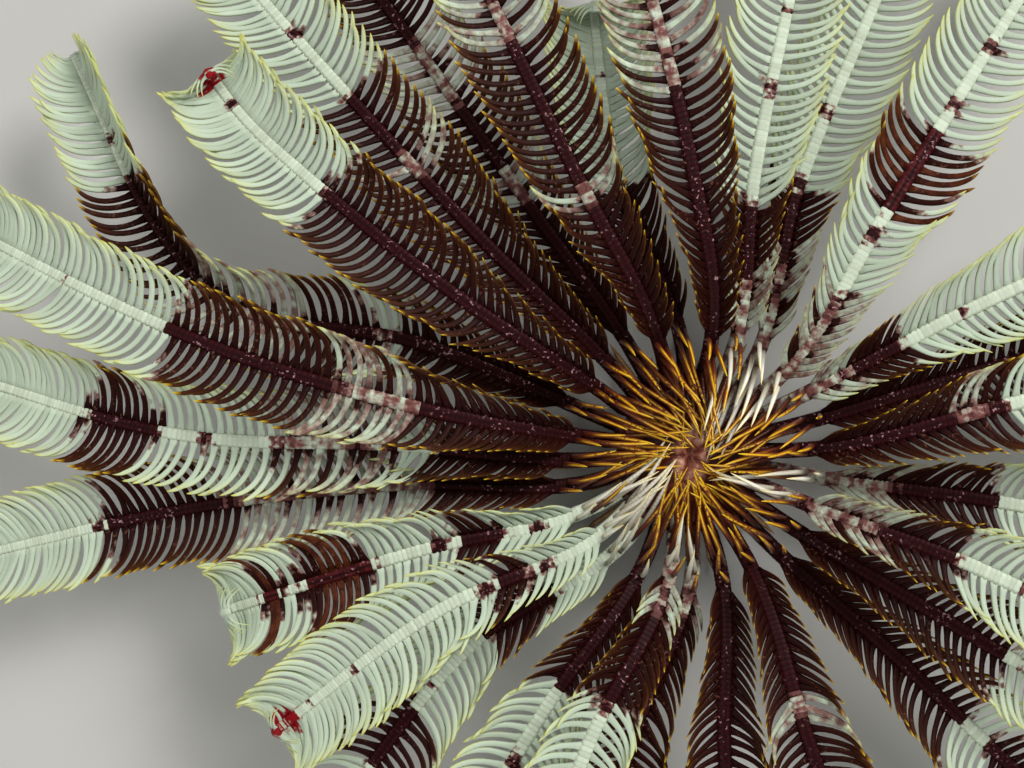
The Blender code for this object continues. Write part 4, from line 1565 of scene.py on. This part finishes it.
@dataclass(frozen=True)
class AnalCone:
    """The wrinkled tube beside the mouth, with an opening.

    Attributes:
        lean: How far it leans outwards, as a share of its height.
        wrinkles: How many it has, and how deep they are as a share of its radius.
        stations: Its heights and radii in mm, up the outside and down into the opening.
    """

    azimuth: float = 118.0
    distance: float = 3.6 * MM
    sink: float = 1.2 * MM
    lean: float = 0.25
    sides: int = 24
    wrinkles: tuple[int, float] = (8, 0.06)
    stations: Profile = (
        (0, 1.15), (0.7, 0.98), (1.4, 0.86), (1.95, 0.72), (2.05, 0.55), (1.8, 0.4), (1.2, 0.25)
    )

    def add_to(self, shell: bmesh.types.BMesh, top: Vector) -> None:
        """Adds it to the disc's mesh, by the top of the disc."""
        out = compass(self.azimuth)
        foot = top + out * self.distance - UP * self.sink
        turn = turn_of(UP + out * self.lean, out)
        count, depth = self.wrinkles
        loops = []
        for high, radius in self.stations:
            loops.append([])
            for k in range(self.sides):
                angle = k * math.tau / self.sides
                wide = radius * (1 + depth * math.cos(count * angle))
                corner = Vector((high, wide * math.cos(angle), wide * math.sin(angle)))
                loops[-1].append(shell.verts.new(foot + turn @ corner * MM))
        for near, far in zip(loops, loops[1:]):
            for k in range(self.sides):
                n = (k + 1) % self.sides
                shell.faces.new((near[k], near[n], far[n], far[k]))
        shell.faces.new(loops[0])
        shell.faces.new(loops[-1])


@dataclass(frozen=True)
class Tegmen:
    """The soft disc over the mouth, with its food grooves and the anal cone.

    Attributes:
        edge: Where its edge turns down, as a share of the radius, and how far down.
        mouth_form: The mouth's width and length as shares of twice its radius.
        pinch: How much the mouth narrows at its middle, and how far out that reaches.
        lips: Radius, width and height of the swelling round the mouth.
        forks: How far out a ray's groove forks, and how far out its branches fork again.
        pink_size: Half the width and length of the pale skin round the mouth, beyond which painted
            shade falls.
        painted_shade_fade: Where on that scale the painted shade begins, and how far on it is full.
        inner_ring: The first ring's place, and how much closer the rings lie to the middle.
    """

    radius: float = 10.2 * MM
    rim: float = 13.5 * MM
    top: float = 15.5 * MM
    dome_power: float = 1.7
    edge: Pair = (0.93, 1.2 * MM)
    floor_drop: float = 1.3 * MM
    mouth_radius: float = 1.3 * MM
    mouth_depth: float = 1.1 * MM
    mouth_form: Pair = (0.75, 1 / 0.7)
    pinch: Pair = (0.35, 3 * MM)
    lips: Triple = (1.9 * MM, 0.7 * MM, 0.3 * MM)
    groove_depth: float = 0.42 * MM
    groove_width: float = 0.42 * MM
    groove_start: float = 0.6
    forks: Pair = (3.6 * MM, 6.4 * MM)
    pink_size: Pair = (2.1 * MM, 3.9 * MM)
    painted_shade_fade: Pair = (0.9, 0.5)
    rings: int = 64
    inner_ring: Pair = (0.02, 0.9)
    sides: int = 168
    cone: AnalCone = AnalCone()

    def grooves(self) -> Iterator[tuple[Vector, Vector]]:
        """Yields the straight stretches of the food grooves, in plan about the animal's axis."""
        inner, outer = self.forks
        for heading, pairs in rays():
            fork = compass(heading) * inner
            yield compass(heading) * self.mouth_radius * self.groove_start, fork
            for pair in pairs:
                split = compass(sum(pair) / len(pair)) * outer
                yield fork, split
                for azimuth in pair:
                    yield split, compass(azimuth) * self.radius

    def heights(
        self, x: np.ndarray, y: np.ndarray, shares: np.ndarray
    ) -> tuple[np.ndarray, np.ndarray]:
        """Works out the disc's upper side.

        Args:
            x: Each point's place to the right of the animal's axis.
            y: Each point's place before it.
            shares: Each ring's radius as a share of the disc's.

        Returns:
            Each point's height, and how far it belongs to a groove or the mouth, 0 to 1.
        """
        pinched, pinch_radius = self.pinch
        squeeze = 1 - pinched * np.exp(-((x**2 + y**2) / pinch_radius**2))
        wide, tall = self.mouth_form
        mouth = np.exp(-((x / squeeze / wide) ** 2 + (y / tall) ** 2) / self.mouth_radius**2)
        groove = np.zeros_like(x)
        for start, end in self.grooves():
            groove = np.maximum(groove, self.groove_strength(x, y, start, end))
        lip_radius, lip_width, lip_height = self.lips
        lips = np.exp(-(((np.hypot(x, y) - lip_radius) / lip_width) ** 2)) * lip_height
        edge_share, edge_drop = self.edge
        edge = np.clip((shares - edge_share) / (1 - edge_share), 0, 1) ** 2
        height = self.top - (self.top - self.rim) * shares**self.dome_power
        height = height - mouth * self.mouth_depth - groove * self.groove_depth + lips
        return height - edge * edge_drop, np.maximum(groove, mouth)

    def build(self, coat: Material) -> Object:
        """Returns the disc as one closed piece.

        Args:
            coat: Its material.
        """
        first, crowding = self.inner_ring
        shares = np.linspace(first, 1, self.rings)[:, None] ** crowding
        turns = np.arange(self.sides) * math.tau / self.sides
        x, y = shares * np.cos(turns) * self.radius, shares * np.sin(turns) * self.radius
        height, grooved = self.heights(x, y, shares)
        shell = bmesh.new()
        groove = shell.verts.layers.float.new("groove")
        edge = shell.verts.layers.float.new("edge")
        wide, tall = self.pink_size
        shade_start, shade_fade = self.painted_shade_fade
        loops = [[shell.verts.new() for _ in range(self.sides)] for _ in range(self.rings)]
        for i, loop in enumerate(loops):
            for k, corner in enumerate(loop):
                corner.co = CENTRE + Vector((x[i, k], y[i, k], height[i, k]))
                corner[groove] = float(grooved[i, k])
                # Painted shade: the skin darkens away from the pink round the mouth, between the
                # spines.
                corner[edge] = smooth((math.hypot(x[i, k] / wide, y[i, k] / tall) - shade_start) / shade_fade)
        lowest = shell.verts.new(CENTRE + UP * (self.rim - self.floor_drop))
        highest = shell.verts.new(CENTRE + UP * (self.top - self.mouth_depth))
        highest[groove] = 1.0
        for k in range(self.sides):
            n = (k + 1) % self.sides
            shell.faces.new((highest, loops[0][k], loops[0][n]))
            shell.faces.new((lowest, loops[-1][n], loops[-1][k]))
            for near, far in zip(loops, loops[1:]):
                shell.faces.new((near[k], far[k], far[n], near[n]))
        self.cone.add_to(shell, CENTRE + UP * self.top)
        return finish_mesh("tegmen", shell, coat)

    def groove_strength(
        self, x: np.ndarray, y: np.ndarray, start: Vector, end: Vector
    ) -> np.ndarray:
        """Returns how deep in one stretch of groove each point lies, 0 to 1."""
        run = end - start
        share = ((x - start.x) * run.x + (y - start.y) * run.y) / run.length_squared
        share = np.clip(share, 0, 1)
        away = np.hypot(x - start.x - share * run.x, y - start.y - share * run.y)
        return np.exp(-((away / self.groove_width) ** 2))


def finish_mesh(name: str, shell: bmesh.types.BMesh, coat: Material) -> Object:
    """Returns a bmesh as a smooth object in the scene, with faces pointing out and one material."""
    bmesh.ops.recalc_face_normals(shell, faces=shell.faces)
    mesh = bpy.data.meshes.new(name)
    shell.to_mesh(mesh)
    shell.free()
    mesh.materials.append(coat)
    mesh.shade_smooth()
    piece = bpy.data.objects.new(name, mesh)
    bpy.context.scene.collection.objects.link(piece)
    return piece


def turned_piece(name: str, profile: Profile, steps: int, coat: Material) -> Object:
    """Returns a piece turned from a profile, in the scene.

    Args:
        name: Its name.
        profile: Its radii and heights in mm, from its axis out and back to it.
        steps: How many faces it has round the axis.
        coat: Its material.
    """
    shell = bmesh.new()
    corners = [shell.verts.new((radius * MM, 0, height * MM)) for radius, height in profile]
    edges = [shell.edges.new(pair) for pair in zip(corners, corners[1:])]
    bmesh.ops.spin(
        shell, geom=corners + edges, axis=UP, cent=(0, 0, 0), angle=math.tau, steps=steps
    )
    bmesh.ops.remove_doubles(shell, verts=shell.verts, dist=WELD)
    bmesh.ops.translate(shell, verts=shell.verts, vec=CENTRE)
    return finish_mesh(name, shell, coat)


@dataclass(frozen=True)
class Calyx:
    """The cup under the disc, with the plates of its forking rays out to the arm bases.

    Attributes:
        stations: Radii and heights of the rows' ends in mm, from the hub to the arms.
        rows: Width at the near and at the far end, and depth, of each row in mm.
        profile: Radii and heights of the cup in mm.
    """

    stations: Profile = ((3.2, 8.3), (5.4, 9.9), (7.9, 11.5), (11.3, 12.5))
    rows: tuple[Triple, ...] = ((3.4, 3.9, 3.0), (2.5, 3.0, 2.3), (2.1, 2.1, 1.9))
    plate_pitch: float = 0.95 * MM
    plate_length: float = 1.02
    profile: Profile = (
        (0, 12.2), (7.4, 12.2), (8.1, 11.6), (7.6, 10.9), (5.4, 9.0), (3.0, 7.7), (0, 7.7)
    )
    cup_sides: int = 64

    def places(self, rng: random.Random) -> Iterator[Place]:
        """Yields the plates: wide ones shared by a ray, then by a pair of arms, then single."""
        for ray, pairs in rays():
            lines = [(0, ray, ray)]
            for pair in pairs:
                middle = sum(pair) / len(pair)
                lines += [(1, ray, middle), *((2, middle, azimuth) for azimuth in pair)]
            for level, near, far in lines:
                yield from self.row(level, (near, far), rng)

    def row(self, level: int, azimuths: Pair, rng: random.Random) -> Iterator[Place]:
        """Yields a straight row of plates.

        Args:
            level: The row's place in rows.
            azimuths: Compass directions of its near end and its far end.
            rng: Where the plates' random numbers come from.
        """
        start, end = (
            compass(azimuth) * radius * MM + UP * height * MM
            for azimuth, (radius, height) in zip(azimuths, self.stations[level:])
        )
        near_width, far_width, depth = (size * MM for size in self.rows[level])
        run = end - start
        count = max(3, round(run.length / self.plate_pitch))
        for k in range(count):
            share = (k + 0.5) / count
            wide = blend(near_width, far_width, share)
            yield Place(
                Shape.OSSICLE_LEFT if k % 2 else Shape.OSSICLE_RIGHT,
                CENTRE + start.lerp(end, share),
                turn_of(run, UP),
                Vector((run.length / count * self.plate_length, wide, depth)),
                seed=rng.random(),
            )

    def cup(self, coat: Material) -> Object:
        """Returns the cup that closes the spaces between the rows of plates."""
        return turned_piece("calyx_cup", self.profile, self.cup_sides, coat)


@dataclass(frozen=True)
class Centrodorsal:
    """The button under the calyx, with the jointed cirri that grip.

    Attributes:
        profile: Radii and heights of the button in mm: a low thick disc with rounded edges.
        count: How many cirri there are, in two rows that alternate.
        root_radius: How far from the middle the cirri begin.
        narrowing: The share of a cirrus's thickness that is lost towards its claw.
        stand: The least height of its axis, as a share of its thickness.
        fall_power: How late it falls to the floor.
    """

    profile: Profile = (
        (0, 7.35), (2.924, 7.35), (3.332, 7.0), (3.4, 6.15),
        (3.298, 5.3), (2.72, 4.6), (1.36, 4.4), (0, 4.55),
    )
    button_sides: int = 48
    count: int = 22
    root_radius: float = 2.6 * MM
    root_heights: Pair = (5.2 * MM, 6.4 * MM)
    reach: Pair = (12.5 * MM, 17.0 * MM)
    arch: Pair = (2.0 * MM, 2.6 * MM)
    thickness: float = 1.15 * MM
    narrowing: float = 0.3
    stand: float = 0.745
    fall_power: float = 1.6
    joint_pitch: float = 0.8 * MM
    joint_jitter: Pair = (0.95, 1.03)
    claw_length: float = 2.4 * MM
    claw_width: float = 0.3
    claw_rise: float = 0.25
    path_points: int = 61

    def button(self, coat: Material) -> Object:
        """Returns the button."""
        return turned_piece("centrodorsal_button", self.profile, self.button_sides, coat)

    def path(self, number: int) -> list[Vector]:
        """Returns points along one cirrus about the animal's axis, from its root to its claw."""
        row = number % 2
        azimuth = (number + 0.5) * 360 / self.count
        reach, high = self.reach[row], self.root_heights[row]
        out = compass(azimuth)
        points = []
        for share in np.linspace(0, 1, self.path_points):
            half = self.stand * self.thickness * (1 - self.narrowing * share)
            fall = high * (1 - share**self.fall_power) + self.arch[row] * math.sin(math.pi * share)
            radius = blend(self.root_radius, reach, share)
            points.append(out * radius + UP * max(fall, half))
        return points

    def places(self, rng: random.Random) -> Iterator[Place]:
        """Yields the joints and claws of every cirrus."""
        for number in range(self.count):
            points = self.path(number)
            walked = np.cumsum([0.0] + [(b - a).length for a, b in zip(points, points[1:])])
            count = round(walked[-1] / self.joint_pitch)
            pitch = walked[-1] / count
            for k in range(count):
                where = (k + 0.5) * pitch
                index = min(int(np.searchsorted(walked, where)), len(points) - 1)
                ahead = (points[index] - points[index - 1]).normalized()
                wide = self.thickness * (1 - self.narrowing * k / count)
                yield Place(
                    Shape.CIRRAL,
                    CENTRE + points[index],
                    turn_of(ahead, UP),
                    Vector((pitch, wide * rng.uniform(*self.joint_jitter), wide)),
                    seed=rng.random(),
                )
            out = (points[-1] - points[0]).normalized()
            out.z = 0
            yield Place(
                Shape.CLAW,
                CENTRE + points[-1],
                turn_of(out + UP * self.claw_rise, UP),
                Vector((1.0, self.claw_width, self.claw_width)) * self.claw_length,
                seed=rng.random(),
            )


@dataclass(frozen=True)
class Studio:
    """The pale floor, the soft lights and the camera straight above.

    Attributes:
        lights: The square soft lights: name, place, size and power.
        sky: Colour and strength of the light from all round.
    """

    floor_size: float = 1.6
    floor_colour: str = "#b9b7b2"
    floor_roughness: float = 0.9
    lights: tuple[tuple[str, Triple, float, float], ...] = (
        ("key", (0.28, 0.34, 0.5), 0.3, 4.5),
        ("fill", (-0.5, 0.05, 0.42), 0.5, 1.6),
        ("low", (0.1, -0.55, 0.25), 0.4, 1.3),
    )
    sky: tuple[str, float] = ("#dfe4e8", 0.26)
    camera_place: Triple = (-25.0 * MM, 10.0 * MM, 214.5 * MM)
    lens: float = 50.0
    nearest: float = 5 * MM

    def build(self) -> None:
        """Adds them to the scene."""
        self.add_floor()
        for name, place, size, power in self.lights:
            lamp = bpy.data.lights.new(name, "AREA")
            lamp.size = size
            lamp.energy = power
            light = bpy.data.objects.new(name, lamp)
            light.location = place
            light.rotation_euler = (-Vector(place)).to_track_quat("-Z", "Y").to_euler()
            bpy.context.scene.collection.objects.link(light)
        world = bpy.data.worlds.new("studio")
        world.use_nodes = True
        sky = world.node_tree.nodes["Background"].inputs
        sky["Color"].default_value = linear(self.sky[0])
        sky["Strength"].default_value = self.sky[1]
        bpy.context.scene.world = world
        camera = bpy.data.objects.new("camera", bpy.data.cameras.new("camera"))
        camera.data.lens = self.lens
        camera.data.clip_start = self.nearest
        camera.location = CENTRE + Vector(self.camera_place)
        bpy.context.scene.collection.objects.link(camera)
        bpy.context.scene.camera = camera
        bpy.context.scene.view_settings.view_transform = "Standard"

    def add_floor(self) -> None:
        """Adds the floor, a plain pale matt sheet."""
        shell = bmesh.new()
        bmesh.ops.create_grid(shell, x_segments=1, y_segments=1, size=self.floor_size / 2)
        coat, shader = new_coat("matt_studio_floor")
        shader.inputs["Base Color"].default_value = linear(self.floor_colour)
        shader.inputs["Roughness"].default_value = self.floor_roughness
        finish_mesh("floor", shell, coat)


def dress(piece: Object, slot: str, *nodes: str) -> None:
    """Fixes a piece to the animal in place of its solids.

    Args:
        piece: The piece.
        slot: Not used.
        nodes: The solids that it stands for.
    """
    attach(piece, "root")
    if nodes:
        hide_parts(*nodes)
    log.info("%s: %d faces", piece.name, len(piece.data.polygons))


def main() -> None:
    """Builds the animal, piece by piece, and the studio."""
    logging.basicConfig(level=logging.INFO, format="%(name)s: %(message)s", stream=sys.stdout)
    rng = random.Random(SEED)
    kit = KIT.build()
    placed = PlacedSet(kit)
    courses = [ArmCourse(number) for number in range(len(ARMS))]
    arms = [FeatherArm(course, rng) for course in courses]
    clearance = Clearance(courses)
    for arm in sorted(arms, key=lambda each: -each.course.plan.tier):
        clearance.freeze()
        arm.find_folds(clearance)
    coats = [finish.material() for finish in (OSSICLE_FINISH, PINNULE_FINISH, SPINE_FINISH)]
    for arm in arms:
        name = arm.course.name
        piece = placed.build(name, list(arm.places()), coats)
        dress(piece, "pinnule", name + "_inner", name + "_outer")
    plate, horn = PLATE_FINISH.material(), CIRRUS_FINISH.material()
    calyx, button = Calyx(), Centrodorsal()
    plates = placed.build("calyx_plates", list(calyx.places(rng)), [plate])
    dress(plates, "calyx", "calyx")
    dress(calyx.cup(plate), "calyx")
    cirri = placed.build("cirri", list(button.places(rng)), [horn])
    dress(cirri, "cirrus", "centrodorsal")
    dress(button.button(horn), "cirrus")
    dress(Tegmen().build(TegmenFinish().material()), "tegmen", "disc")
    for shape in list(kit.objects):
        bpy.data.objects.remove(shape)
    bpy.data.collections.remove(kit)
    Studio().build()


if __name__ == "__main__":
    main()
